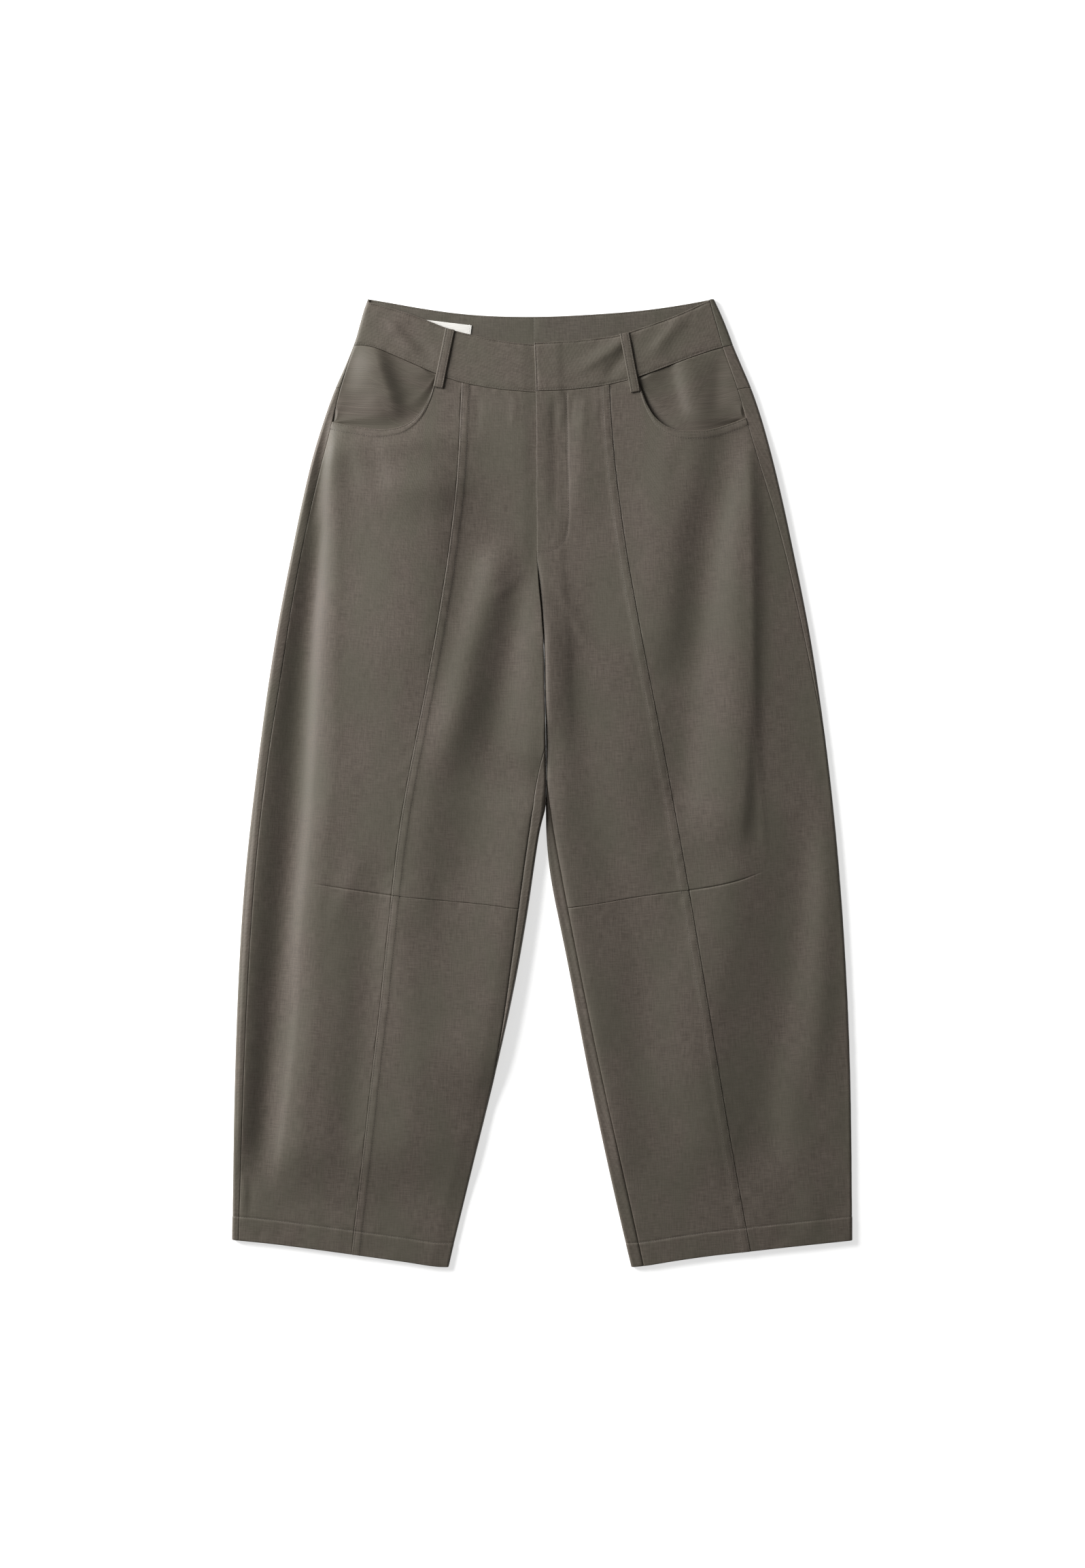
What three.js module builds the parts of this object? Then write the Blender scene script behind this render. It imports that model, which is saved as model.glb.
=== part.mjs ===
// Barrel leg trousers, laid flat with the front up.
// Millimetres, +Z up, waist towards +Y. The origin is on the surface the cloth lies on, under its middle.
// Right and left are the wearer's: the right leg is the one at negative X.
// Every panel is a closed cloth wall. Neighbours share one seam line and stay 0.3 mm apart along it.

import * as THREE from 'three';

// Driving sizes
const CLOTH = 1.4;
const BAND_CLOTH = 2.2;
const FACING_CLOTH = 1.0;
const SEAM_GAP = 0.3;
const OUTER_ROLL = 3.1;
const INNER_ROLL = 2.6;
const FRONT_LEVEL = 2 * OUTER_ROLL;
const INNER_EASE = 22;
const CROTCH_Y = 150;
const CROTCH_TURN = 14;
const LEG_GAP_TOP_Y = -28;
const LAP_WIDTH = 8;
const LAP_RAISE = 0.45;
const LAP_STEP = 0.8;
const HEM_DEPTH = 26;
const HEM_RAISE = 0.4;
const HEM_STEP = 1.5;
const BAND_RAISE = 0.4;
const FLY_WIDTH = 33;
const FLY_RAISE = 0.9;
const FLY_STEP = 10;
const FLY_TUCK = 0.9;
const FLY_TUCK_WIDTH = 16;
const FLY_FOOT_Y = 205;
const FLY_END_Y = 250;
const DART_DEPTH = 0.6;
const DART_HALF_WIDTH = 2.5;
const DART_TAPER = 30;
const FOLD_FADE = 7;
const POCKET_UNDERLAP = 6;
const POCKET_DROP = 0.5;
const LOOP_CLOTH = 1.4;
const LOOP_LIFT = 1.8;
const LOOP_FULLNESS = 0.7;
const LABEL_CLOTH = 1.0;

const HALF_GAP = SEAM_GAP / 2;

// Colours and finishes
const SUITING = { color: 0x665f57, roughness: 0.85, metalness: 0 };
const SUITING_SHADE = { color: 0x57514a, roughness: 0.88, metalness: 0 };
const LABEL_WHITE = { color: 0xe9e8e2, roughness: 0.7, metalness: 0 };

// Section tables. Each row is one level across the garment, each column one line down it.
const columns = (names, rows) => {
  const keys = names.split(' ');
  return rows.map((row) => Object.fromEntries(keys.map((key, i) => [key, row[i]])));
};

const RIGHT_SIDE = columns('y outer sideSeam panelSeam', [
  [528, -189.5, -189.5, -87],
  [514, -194.4, -194.4, -87],
  [500, -198.4, -198.4, -87],
  [486, -202.3, -202.3, -87],
  [476, -205.6, -205.4, -87.2],
  [455, -214, -212, -87.5],
  [430, -225, -219.6, -88],
  [400, -236, -227.1, -89.2],
  [370, -245.4, -234.4, -90.4],
  [340, -253.4, -241.7, -92.2],
  [300, -262.4, -251.2, -95.7],
  [250, -272.6, -261.8, -101.8],
  [200, -282.4, -271, -109.4],
  [150, -291.3, -278.9, -117.8],
  [100, -299, -286.6, -127],
  [50, -305.8, -294.6, -136.9],
  [0, -312.1, -301.4, -146.6],
  [-50, -318, -307.3, -155],
  [-100, -323.1, -312.2, -161.4],
  [-150, -327, -315.9, -166.8],
  [-200, -329.9, -318.9, -172],
  [-250, -332.1, -321.5, -177.3],
  [-300, -333.8, -323.6, -183.3],
  [-350, -335.1, -325.4, -189],
  [-400, -336.1, -327.2, -194.6],
  [-450, -336.9, -329, -200.4],
  [-500, -337.6, -330.6, -206.1],
  [-530, -337.8, -331.4, -209.4],
]);

const LEFT_SIDE = columns('y outer sideSeam panelSeam', [
  [528, 186.6, 182, 73],
  [514, 193.2, 185.8, 73],
  [500, 199.2, 189.9, 73],
  [486, 204.6, 193.8, 73],
  [476, 208.2, 196.8, 73],
  [455, 217, 204.4, 73.2],
  [430, 227.6, 212.8, 73.7],
  [400, 238, 221.6, 75.2],
  [370, 246.6, 230.4, 77.4],
  [340, 254.3, 239.4, 80.3],
  [300, 263.6, 251.6, 85.2],
  [250, 274.2, 265, 92.4],
  [200, 284.4, 276.6, 101],
  [150, 293.6, 287.4, 110.2],
  [100, 301.3, 297.8, 120],
  [50, 308.2, 307.4, 129.8],
  [0, 314.3, 314.25, 139.2],
  [-50, 319.6, 319.6, 148.2],
  [-100, 324, 324, 157],
  [-150, 327.8, 327.8, 165.6],
  [-200, 330.9, 330.9, 174],
  [-250, 333.4, 333.4, 182.2],
  [-300, 335.2, 335.2, 190.2],
  [-350, 336.4, 336.4, 198.4],
  [-400, 337.1, 337.1, 207],
  [-450, 337.5, 337.5, 216],
  [-500, 337.7, 337.7, 225.2],
  [-530, 337.8, 337.8, 230.8],
]);

// The line where the two fronts meet, from the waistband down to where the legs part.
const CENTRE_LINE = columns('y x', [
  [530, -9.4],
  [478, -8.6],
  [426, -6.8],
  [340, -5.9],
  [280, -5.5],
  [245, -5.2],
  [215, -3.4],
  [185, -0.6],
  [150, 1.8],
  [100, 3],
  [50, 4],
  [0, 4.4],
  [-28, 3.8],
]);

// Inner edge of each leg below that, and its inseam, which stands in from the edge where the back shows.
const RIGHT_INNER = columns('y inner inseam', [
  [-28, 3.6, -9.8],
  [-50, -2, -13.4],
  [-75, -6.2, -17.2],
  [-100, -9.9, -20.7],
  [-125, -13.5, -24.1],
  [-150, -17.4, -27.4],
  [-200, -26, -34],
  [-250, -36, -41],
  [-300, -47.2, -49.3],
  [-350, -58.9, -59.2],
  [-400, -71.1, -71.12],
  [-450, -83.4, -83.4],
  [-500, -95.6, -95.6],
  [-530, -102.6, -102.6],
]);
const LEFT_INNER = columns('y inner inseam', [
  [-28, 4, 8.6],
  [-50, 4.4, 12.2],
  [-75, 6, 16.4],
  [-100, 9, 20.9],
  [-125, 13.3, 25.5],
  [-150, 18.4, 30.4],
  [-200, 28.5, 40.2],
  [-250, 38, 50.2],
  [-300, 47.5, 60.6],
  [-350, 57.5, 71.4],
  [-400, 68.1, 82.8],
  [-450, 79.2, 94],
  [-500, 90.8, 105],
  [-530, 98, 111.6],
]);
const RIGHT_INSEAM_START = columns('y inset', [
  [46, 0],
  [17, 6.8],
  [-28, 13.4],
]);
const LEFT_INSEAM_START = columns('y inset', [
  [10, 0],
  [-10, 1.6],
  [-28, 4.6],
]);

// Lines that run across: the waistband's edges and seam, the knee seam and the hem.
const BACK_TOP = columns('x y', [
  [-190, 527.2],
  [-168, 523.5],
  [-131, 517],
  [-94, 511.8],
  [-57, 508.8],
  [-2, 508],
  [54, 510.4],
  [109, 514.8],
  [146, 519.8],
  [187, 527.2],
]);
const FRONT_TOP_RIGHT = columns('x y', [
  [-190, 523.6],
  [-162, 516.2],
  [-143, 510.3],
  [-126, 503.8],
  [-107, 496.3],
  [-91, 491.2],
  [-77, 488],
  [-52, 482.8],
  [-28, 479.2],
  [-8, 477.6],
]);
const FRONT_TOP_LEFT = columns('x y', [
  [-9, 479.2],
  [25, 481],
  [54, 483.6],
  [84, 488],
  [99, 492.4],
  [119, 499.2],
  [145, 508.8],
  [167, 518.4],
  [183, 525.8],
  [190, 528.6],
]);
const BAND_SEAM_RIGHT = columns('x y', [
  [-206, 476.4],
  [-194, 476.2],
  [-180, 473],
  [-162, 465.8],
  [-143, 457.6],
  [-125, 449.6],
  [-105, 441.4],
  [-88, 436.2],
  [-65, 431.4],
  [-40, 427.8],
  [-7, 425.2],
]);
const BAND_SEAM_LEFT = columns('x y', [
  [-8, 426.4],
  [20, 427.4],
  [46, 429.6],
  [71, 433.3],
  [93, 438.4],
  [107, 442.6],
  [137, 453.6],
  [163, 463.4],
  [184, 470.6],
  [197, 474],
  [208, 475.8],
]);
const KNEE_RIGHT = columns('x y', [
  [-330, -103],
  [-313, -104],
  [-255, -108.6],
  [-228, -113],
  [-192, -118.4],
  [-163, -122.4],
  [-133, -125.8],
  [-91, -129.4],
  [-62, -132.4],
  [-20, -138],
]);
const KNEE_LEFT = columns('x y', [
  [18, -137.6],
  [58, -132],
  [105, -124],
  [150, -118],
  [162, -116.6],
  [192, -111.6],
  [218, -105],
  [239, -97],
  [270, -86],
  [330, -76],
]);
const HEM_RIGHT = columns('x y', [
  [-338, -497.4],
  [-298, -501.4],
  [-261, -506],
  [-224, -511],
  [-187, -516.2],
  [-150, -521.4],
  [-113, -526.8],
  [-101, -527.2],
]);
const HEM_LEFT = columns('x y', [
  [97, -527.2],
  [110, -526],
  [146, -520.2],
  [183, -515],
  [220, -510.8],
  [257, -506.6],
  [294, -502.6],
  [338, -498],
]);

// Pocket mouths, from the side seam round to the waistband seam.
const POCKET_RIGHT = [
  [-228.6, 393.3],
  [-217, 390.6],
  [-198.5, 387.2],
  [-180, 385],
  [-165, 385.4],
  [-149, 389.8],
  [-138, 397.6],
  [-129, 408.6],
  [-122.6, 421.2],
  [-118.6, 432],
  [-115.6, 445.6],
];
const POCKET_LEFT = [
  [222.2, 398],
  [201.6, 390.2],
  [181, 384.6],
  [160, 383.2],
  [145.4, 384.6],
  [133.6, 389.6],
  [123.2, 398.2],
  [114.4, 411.4],
  [108.8, 425.4],
  [103.6, 441.6],
];

// Folds and hollows of the cloth. west and east are the reach on either side of the path's line.
const FOLDS = [
  { name: 'outer edge roll, right leg', height: 5.4, west: 8, east: 24,
    path: [[-240, 396], [-250, 340], [-262, 282], [-274, 226], [-285, 166], [-293, 110], [-302, 44],
      [-311, -50], [-320, -160], [-326, -260], [-329, -360], [-330, -440]] },
  { name: 'side hollow, right leg', height: -3, west: 16, east: 15,
    path: [[-230, 420], [-236, 360], [-242, 300], [-248, 240], [-256, 160], [-263, 70], [-268, -10],
      [-274, -80], [-283, -170], [-292, -260], [-303, -360], [-311, -450]] },
  { name: 'side ridge, right leg', height: 7.2, west: 27, east: 58,
    path: [[-224, 420], [-221, 320], [-219, 220], [-222, 120], [-222, 30], [-231, -60], [-239, -160],
      [-242, -260], [-254, -360], [-264, -460]] },
  { name: 'thigh swell, right leg', height: 4.2, west: 56, east: 32,
    path: [[-158, 412], [-152, 320], [-148, 240], [-150, 170], [-156, 110]] },
  { name: 'knee swell, right leg', height: 3.2, west: 44, east: 34,
    path: [[-165, 140], [-158, 60], [-160, -20], [-172, -100], [-185, -170]] },
  { name: 'crotch drag fold, right leg', height: 5.4, west: 26, east: 19,
    path: [[-42, 262], [-59, 200], [-74, 150], [-86, 100], [-101, 44], [-118, 0], [-138, -60],
      [-150, -130]] },
  { name: 'crotch hollow, right leg', height: -2.4, west: 14, east: 18,
    path: [[-20, 250], [-29, 200], [-34, 150], [-44, 100], [-55, 44], [-67, 0], [-80, -60], [-92, -150]] },
  { name: 'inner swell, right leg', height: 3, west: 24, east: 8,
    path: [[-4, 262], [-4, 200], [-5, 120], [-8, 40], [-17, -50], [-36, -160], [-54, -260], [-72, -360]] },
  { name: 'shin hollow, right leg', height: -2.2, west: 22, east: 20,
    path: [[-166, -60], [-184, -160], [-194, -260], [-207, -360], [-216, -450]] },
  { name: 'shin ridge, right leg', height: 2.8, west: 30, east: 36,
    path: [[-142, -90], [-140, -180], [-130, -270], [-137, -360], [-150, -450]] },
  { name: 'press ridge, left leg', height: 4.6, west: 24, east: 14,
    path: [[214, 430], [222, 340], [223, 250], [223, 150], [223, 50], [220, -20], [212, -100]] },
  { name: 'side swell, left leg', height: 2, west: 40, east: 40,
    path: [[214, 430], [222, 300], [222, 150], [222, 30], [214, -90]] },
  { name: 'side hollow, left leg', height: -2.6, west: 26, east: 16,
    path: [[214, 430], [199, 350], [189, 300], [181, 250], [171, 200], [164, 140], [157, 70], [150, -10],
      [148, -80]] },
  { name: 'thigh ridge, left leg', height: 3.2, west: 38, east: 23,
    path: [[158, 430], [147, 330], [140, 250], [136, 180], [136, 110]] },
  { name: 'shin ridge, left leg', height: 3.2, west: 38, east: 32,
    path: [[210, -40], [198, -150], [176, -260], [176, -350], [190, -450]] },
  { name: 'shin hollow, left leg', height: -2.7, west: 32, east: 22,
    path: [[284, -20], [279, -140], [258, -260], [247, -350], [252, -450]] },
  { name: 'outer swell, left leg', height: 1.4, west: 16, east: 14,
    path: [[304, -10], [307, -130], [302, -250], [292, -350]] },
  { name: 'fly hollow', height: -1.8, west: 8, east: 8,
    path: [[11, 436], [12, 390], [12, 330], [12, 262]] },
  { name: 'fly ridge', height: 1, west: 10, east: 22,
    path: [[48, 436], [45, 390], [42, 330], [36, 270]] },
  { name: 'inner roll, left leg', height: 2.6, west: 8, east: 26,
    path: [[7, 205], [9, 130], [11, 50], [14, -20], [24, -90], [38, -170], [56, -260], [76, -360],
      [90, -450]] },
  { name: 'inner thigh hollow, left leg', height: -1.2, west: 20, east: 28,
    path: [[38, 200], [44, 100], [52, 20], [68, -70], [100, -160], [110, -260], [116, -350]] },
];
const BAND_FOLDS = [
  { name: 'diagonal fold below the left loop', height: 1.2, west: 6, east: 5,
    path: [[96, 489], [74, 471], [54, 456], [30, 440]] },
  { name: 'diagonal fold beside the left loop', height: 1.2, west: 7, east: 8,
    path: [[152, 508], [132, 486], [112, 460]] },
  { name: 'diagonal hollow, right band', height: -0.8, west: 7, east: 7,
    path: [[-156, 496], [-132, 478], [-112, 460]] },
];
const FACING_FOLDS = [
  { name: 'outer ripple, right pocket', height: 1.2, west: 7, east: 7,
    path: [[-181, 472], [-190, 440], [-202, 384]] },
  { name: 'inner ripple, right pocket', height: 1.2, west: 7, east: 6,
    path: [[-179, 472], [-172, 440], [-160, 384]] },
  { name: 'inner hollow, right pocket', height: -0.9, west: 7, east: 7,
    path: [[-162, 456], [-150, 430], [-140, 396]] },
  { name: 'middle ripple, left pocket', height: 1.3, west: 8, east: 8,
    path: [[176, 464], [168, 430], [162, 376]] },
  { name: 'outer hollow, left pocket', height: -0.9, west: 9, east: 9,
    path: [[196, 456], [190, 430], [188, 396]] },
  { name: 'inner hollow, left pocket', height: -0.9, west: 9, east: 9,
    path: [[152, 450], [144, 430], [140, 400]] },
];

// Small helpers
const mix = (a, b, t) => a + (b - a) * t;
const clamp = (x, low, high) => Math.min(high, Math.max(low, x));
const smooth = (from, to, x) => {
  const t = clamp((x - from) / (to - from), 0, 1);
  return t * t * (3 - 2 * t);
};
const steps = (from, to, count) => (
  Array.from({ length: count + 1 }, (_, i) => mix(from, to, i / count)));

// A smooth curve through a table: the slope at each row is the mean of its two neighbours' slopes.
function through(table, at, value) {
  const rows = [...table].sort((a, b) => a[at] - b[at]);
  const last = rows.length - 1;
  const chord = (i) => (rows[i + 1][value] - rows[i][value]) / (rows[i + 1][at] - rows[i][at]);
  const slope = (i) => {
    if (i === 0) return chord(0);
    if (i === last) return chord(last - 1);
    return (chord(i - 1) + chord(i)) / 2;
  };
  return (x) => {
    let i = rows.findIndex((row) => row[at] > x) - 1;
    if (i === -2) i = last - 1;
    i = clamp(i, 0, last - 1);
    const span = rows[i + 1][at] - rows[i][at];
    const t = clamp((x - rows[i][at]) / span, 0, 1);
    const a = rows[i][value];
    const b = rows[i + 1][value];
    const leave = slope(i) * span - (b - a);
    const arrive = (b - a) - slope(i + 1) * span;
    return mix(a, b, t) + t * (1 - t) * mix(leave, arrive, t);
  };
}

// A fold's path becomes short straight runs, and its height fades to nothing at both ends.
const FOLD_STEPS = 30;
const FOLD_END_LENGTH = 70;
const FOLD_END_SHARE = 0.35;
const curveThrough = (path) => new THREE.CatmullRomCurve3(path.map(([x, y]) => new THREE.Vector3(x, y, 0)));
function prepareFold(fold) {
  const curve = curveThrough(fold.path);
  const fade = Math.min(FOLD_END_SHARE, FOLD_END_LENGTH / curve.getLength());
  return { ...fold, fade, points: curve.getPoints(FOLD_STEPS) };
}
function foldHeight(fold, x, y) {
  let best = Infinity;
  let along = 0;
  let side = 0;
  for (let i = 0; i < FOLD_STEPS; i += 1) {
    const a = fold.points[i];
    const b = fold.points[i + 1];
    const runX = b.x - a.x;
    const runY = b.y - a.y;
    const t = clamp(((x - a.x) * runX + (y - a.y) * runY) / (runX * runX + runY * runY), 0, 1);
    const dx = x - a.x - t * runX;
    const dy = y - a.y - t * runY;
    const distance = Math.hypot(dx, dy);
    if (distance < best) {
      best = distance;
      along = (i + t) / FOLD_STEPS;
      side = dx;
    }
  }
  const reach = side < 0 ? fold.west : fold.east;
  const ends = smooth(0, fold.fade, along) * smooth(1, 1 - fold.fade, along);
  return fold.height * ends * Math.exp(-((best / reach) ** 2));
}
const legFolds = FOLDS.map(prepareFold);
const bandFolds = BAND_FOLDS.map(prepareFold);
const facingFolds = FACING_FOLDS.map(prepareFold);
const sumFolds = (folds, x, y) => folds.reduce((sum, fold) => sum + foldHeight(fold, x, y), 0);

// The rolled edge of a folded layer. Arc length runs from the outermost point, up and over the top.
const QUARTER = Math.PI / 2;
const insetAt = (radius, arc) => (Math.abs(arc) < radius * QUARTER
  ? radius * (1 - Math.cos(arc / radius))
  : radius + Math.abs(arc) - radius * QUARTER);
const arcAt = (radius, inset) => (inset < radius
  ? radius * Math.acos(1 - inset / radius)
  : radius * QUARTER + inset - radius);
const rolledHeight = (radius, inset) => {
  const back = radius - clamp(inset, 0, radius);
  return radius + Math.sqrt(radius * radius - back * back);
};

const centreLine = through(CENTRE_LINE, 'y', 'x');
const belowCrotch = (y) => smooth(CROTCH_Y + CROTCH_TURN, CROTCH_Y - CROTCH_TURN, y);

// Everything that one side of the garment needs. towards is +1 where the centre lies at greater X.
function makeSide({ name, towards, side, inner, inseamStart, knee, hem, bandSeam, frontTop, pocket }) {
  const innerTable = through(inner, 'y', 'inner');
  const seamArc = (radius, y, inset) => ({ y, arc: arcAt(radius, Math.abs(inset)) });
  const sideArcs = side.map((row) => seamArc(OUTER_ROLL, row.y, row.sideSeam - row.outer));
  const inseamArcs = [
    ...inseamStart.map((row) => seamArc(INNER_ROLL, row.y, row.inset)),
    ...inner.slice(1).map((row) => seamArc(INNER_ROLL, row.y, row.inseam - row.inner)),
  ];
  return {
    name,
    towards,
    pocket,
    outer: through(side, 'y', 'outer'),
    inner: (y) => (y > LEG_GAP_TOP_Y ? centreLine(y) - towards * HALF_GAP : innerTable(y)),
    panel: through(side, 'y', 'panelSeam'),
    sideArc: through(sideArcs, 'y', 'arc'),
    inseamArc: through(inseamArcs, 'y', 'arc'),
    knee: through(knee, 'x', 'y'),
    hem: through(hem, 'x', 'y'),
    bandSeam: through(bandSeam, 'x', 'y'),
    frontTop: through(frontTop, 'x', 'y'),
  };
}
const right = makeSide({
  name: 'right',
  towards: 1,
  side: RIGHT_SIDE,
  inner: RIGHT_INNER,
  inseamStart: RIGHT_INSEAM_START,
  knee: KNEE_RIGHT,
  hem: HEM_RIGHT,
  bandSeam: BAND_SEAM_RIGHT,
  frontTop: FRONT_TOP_RIGHT,
  pocket: POCKET_RIGHT,
});
const left = makeSide({
  name: 'left',
  towards: -1,
  side: LEFT_SIDE,
  inner: LEFT_INNER,
  inseamStart: LEFT_INSEAM_START,
  knee: KNEE_LEFT,
  hem: HEM_LEFT,
  bandSeam: BAND_SEAM_LEFT,
  frontTop: FRONT_TOP_LEFT,
  pocket: POCKET_LEFT,
});

// Lines a front panel is cut to, half a seam gap inside the seam itself.
const frontSideEdge = (s, gap = HALF_GAP) => (y) => (
  s.outer(y) + s.towards * insetAt(OUTER_ROLL, s.sideArc(y) + gap));
const frontInnerEdge = (s) => (y) => (
  s.inner(y) - s.towards * insetAt(INNER_ROLL, s.inseamArc(y) + HALF_GAP));

// The left front laps over the right one at the centre: it stands up, and the right one is tucked in.
function centreLap(s, y, fromInner) {
  if (s === left) return FLY_RAISE * smooth(FLY_WIDTH, FLY_WIDTH - FLY_STEP, fromInner);
  return -FLY_TUCK * smooth(FLY_TUCK_WIDTH, 0, fromInner) * smooth(FLY_FOOT_Y, FLY_END_Y, y);
}

// Height of the upper cloth's outer face: rolled down at the edges, level between, with the folds on it.
function upperHeight(s, x, y) {
  const fromOuter = Math.max(0, (x - s.outer(y)) * s.towards);
  const fromInner = Math.max(0, (s.inner(y) - x) * s.towards);
  const low = belowCrotch(y);
  const lap = centreLap(s, y, fromInner);
  const innerRoll = rolledHeight(INNER_ROLL, fromInner)
    + (FRONT_LEVEL - 2 * INNER_ROLL) * smooth(INNER_ROLL, INNER_EASE, fromInner);
  const innerLevel = mix(FRONT_LEVEL + lap, innerRoll, low);
  const outerLevel = rolledHeight(OUTER_ROLL, fromOuter) - FRONT_LEVEL;
  const rest = smooth(0, FOLD_FADE, fromOuter) * mix(1, smooth(0, FOLD_FADE, fromInner), low);
  return innerLevel + outerLevel + rest * sumFolds(legFolds, x, y);
}
function bandHeight(s, x, y) {
  const fromOuter = Math.max(0, (x - s.outer(y)) * s.towards);
  const fromInner = Math.max(0, (s.inner(y) - x) * s.towards);
  const lap = centreLap(s, y, fromInner);
  const rest = smooth(0, FOLD_FADE, fromOuter);
  return rolledHeight(OUTER_ROLL, fromOuter) + rest * (lap + BAND_RAISE + sumFolds(bandFolds, x, y));
}

// A point of a face, with the outward direction there worked out from the height on either side.
const PROBE = 0.02;
function facePoint(height, x, y, raise = 0) {
  const slopeX = (height(x + PROBE, y) - height(x - PROBE, y)) / (2 * PROBE);
  const slopeY = (height(x, y + PROBE) - height(x, y - PROBE)) / (2 * PROBE);
  const out = new THREE.Vector3(-slopeX, -slopeY, 1).normalize();
  return { at: new THREE.Vector3(x, y, height(x, y) + raise), out };
}

// A flat pattern piece between four edges, as functions that give [x, y].
function patch(top, bottom, near, far) {
  const corner = [top(0), top(1), bottom(0), bottom(1)];
  return (u, v) => [0, 1].map((k) => (
    mix(top(u)[k], bottom(u)[k], v) + mix(near(v)[k], far(v)[k], u)
    - mix(mix(corner[0][k], corner[1][k], u), mix(corner[2][k], corner[3][k], u), v)));
}
const down = (line, fromY, toY) => (v) => {
  const y = mix(fromY, toY, v);
  return [line(y), y];
};
const across = (line, fromX, toX) => (u) => {
  const x = mix(fromX, toX, u);
  return [x, line(x)];
};
// Where a line down the garment crosses a line across it.
const CROSSING_STEPS = 30;
function crossing(downLine, acrossLine) {
  let y = 0;
  for (let i = 0; i < CROSSING_STEPS; i += 1) y = acrossLine(downLine(y));
  return y;
}
const distance = (a, b) => Math.hypot(a[0] - b[0], a[1] - b[1]);

// A closed wall from a grid of outer points: the inner face, then a strip round the open edges.
function wall(grid, thickness) {
  const rows = grid.length;
  const cols = grid[0].length;
  const outer = grid.flat().map(({ at }) => at);
  const inner = grid.flat().map(({ at, out, thick }) => (
    at.clone().addScaledVector(out, -(thick ?? thickness))));
  const positions = [...outer, ...inner].flatMap((p) => [p.x, p.y, p.z]);
  const index = (i, j, layer) => layer * rows * cols + i * cols + j;
  const triangles = [];
  const quad = (a, b, c, d) => triangles.push(a, b, c, a, c, d);
  for (let i = 0; i < rows - 1; i += 1) {
    for (let j = 0; j < cols - 1; j += 1) {
      quad(index(i, j, 0), index(i + 1, j, 0), index(i + 1, j + 1, 0), index(i, j + 1, 0));
      quad(index(i, j, 1), index(i, j + 1, 1), index(i + 1, j + 1, 1), index(i + 1, j, 1));
    }
  }
  const rim = [
    ...Array.from({ length: cols - 1 }, (_, j) => [0, j]),
    ...Array.from({ length: rows - 1 }, (_, i) => [i, cols - 1]),
    ...Array.from({ length: cols - 1 }, (_, j) => [rows - 1, cols - 1 - j]),
    ...Array.from({ length: rows - 1 }, (_, i) => [rows - 1 - i, 0]),
  ];
  rim.forEach(([i, j], k) => {
    const [nextI, nextJ] = rim[(k + 1) % rim.length];
    quad(index(i, j, 0), index(nextI, nextJ, 0), index(nextI, nextJ, 1), index(i, j, 1));
  });
  const geometry = new THREE.BufferGeometry();
  geometry.setAttribute('position', new THREE.Float32BufferAttribute(positions, 3));
  geometry.setIndex(triangles);
  if (volume(geometry) < 0) {
    for (let k = 0; k < triangles.length; k += 3) {
      [triangles[k + 1], triangles[k + 2]] = [triangles[k + 2], triangles[k + 1]];
    }
    geometry.setIndex(triangles);
  }
  geometry.computeVertexNormals();
  return geometry;
}
function volume(geometry) {
  const position = geometry.getAttribute('position');
  const index = geometry.getIndex();
  const corner = (k) => new THREE.Vector3().fromBufferAttribute(position, index.getX(k));
  let sixfold = 0;
  for (let k = 0; k < index.count; k += 3) sixfold += corner(k).dot(corner(k + 1).cross(corner(k + 2)));
  return sixfold / 6;
}

const trousers = new THREE.Group();
function addPiece(name, geometry, finish) {
  const mesh = new THREE.Mesh(geometry, new THREE.MeshStandardMaterial(finish));
  mesh.name = name;
  trousers.add(mesh);
}

// Places down a piece, as parts of its height, and places across it, in millimetres from its near edge.
const ABOVE_KNEE = [
  0, 0.02, 0.06, 0.12, 0.2, 0.29, 0.38, 0.465, 0.49, 0.515, 0.58, 0.65, 0.69, 0.74, 0.806, 0.85, 0.92, 1,
];
const BELOW_KNEE = [0, 0.12, 0.25, 0.34, 0.42, 0.48, 0.546, 0.65, 0.76, 0.88, 1];
const ROLL_OFFSETS = [0, 0.5, 1.5, 3.1];

const kneeY = (s, line) => crossing(line, s.knee);
const hemY = (s, line) => crossing(line, s.hem);

// Pattern of the whole front side panel: its top edge is the pocket mouth and a short piece of band seam.
const MOUTH_SHARE = 0.84;
const MOUTH_EASE = 0.1;
function sidePanelPatterns(s) {
  const near = frontSideEdge(s);
  const mouthCurve = curveThrough(s.pocket);
  const mouthStart = [near(s.pocket[0][1]), s.pocket[0][1]];
  const mouthEnd = s.pocket[s.pocket.length - 1];
  const panelTop = crossing(s.panel, s.bandSeam);
  const top = (u) => {
    if (u < MOUTH_SHARE) {
      const p = mouthCurve.getPointAt(u / MOUTH_SHARE);
      return [p.x + (mouthStart[0] - s.pocket[0][0]) * smooth(MOUTH_EASE, 0, u), p.y];
    }
    const x = mix(mouthEnd[0], s.panel(panelTop), (u - MOUTH_SHARE) / (1 - MOUTH_SHARE));
    return [x, s.bandSeam(x)];
  };
  const kneeNear = kneeY(s, near);
  const kneeFar = kneeY(s, s.panel);
  const hemNear = hemY(s, near);
  const hemFar = hemY(s, s.panel);
  const knee = across(s.knee, near(kneeNear), s.panel(kneeFar));
  const hem = across(s.hem, near(hemNear), s.panel(hemFar));
  const above = patch(top, knee, down(near, s.pocket[0][1], kneeNear), down(s.panel, panelTop, kneeFar));
  const below = patch(knee, hem, down(near, kneeNear, hemNear), down(s.panel, kneeFar, hemFar));
  return { above, below };
}

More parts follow.
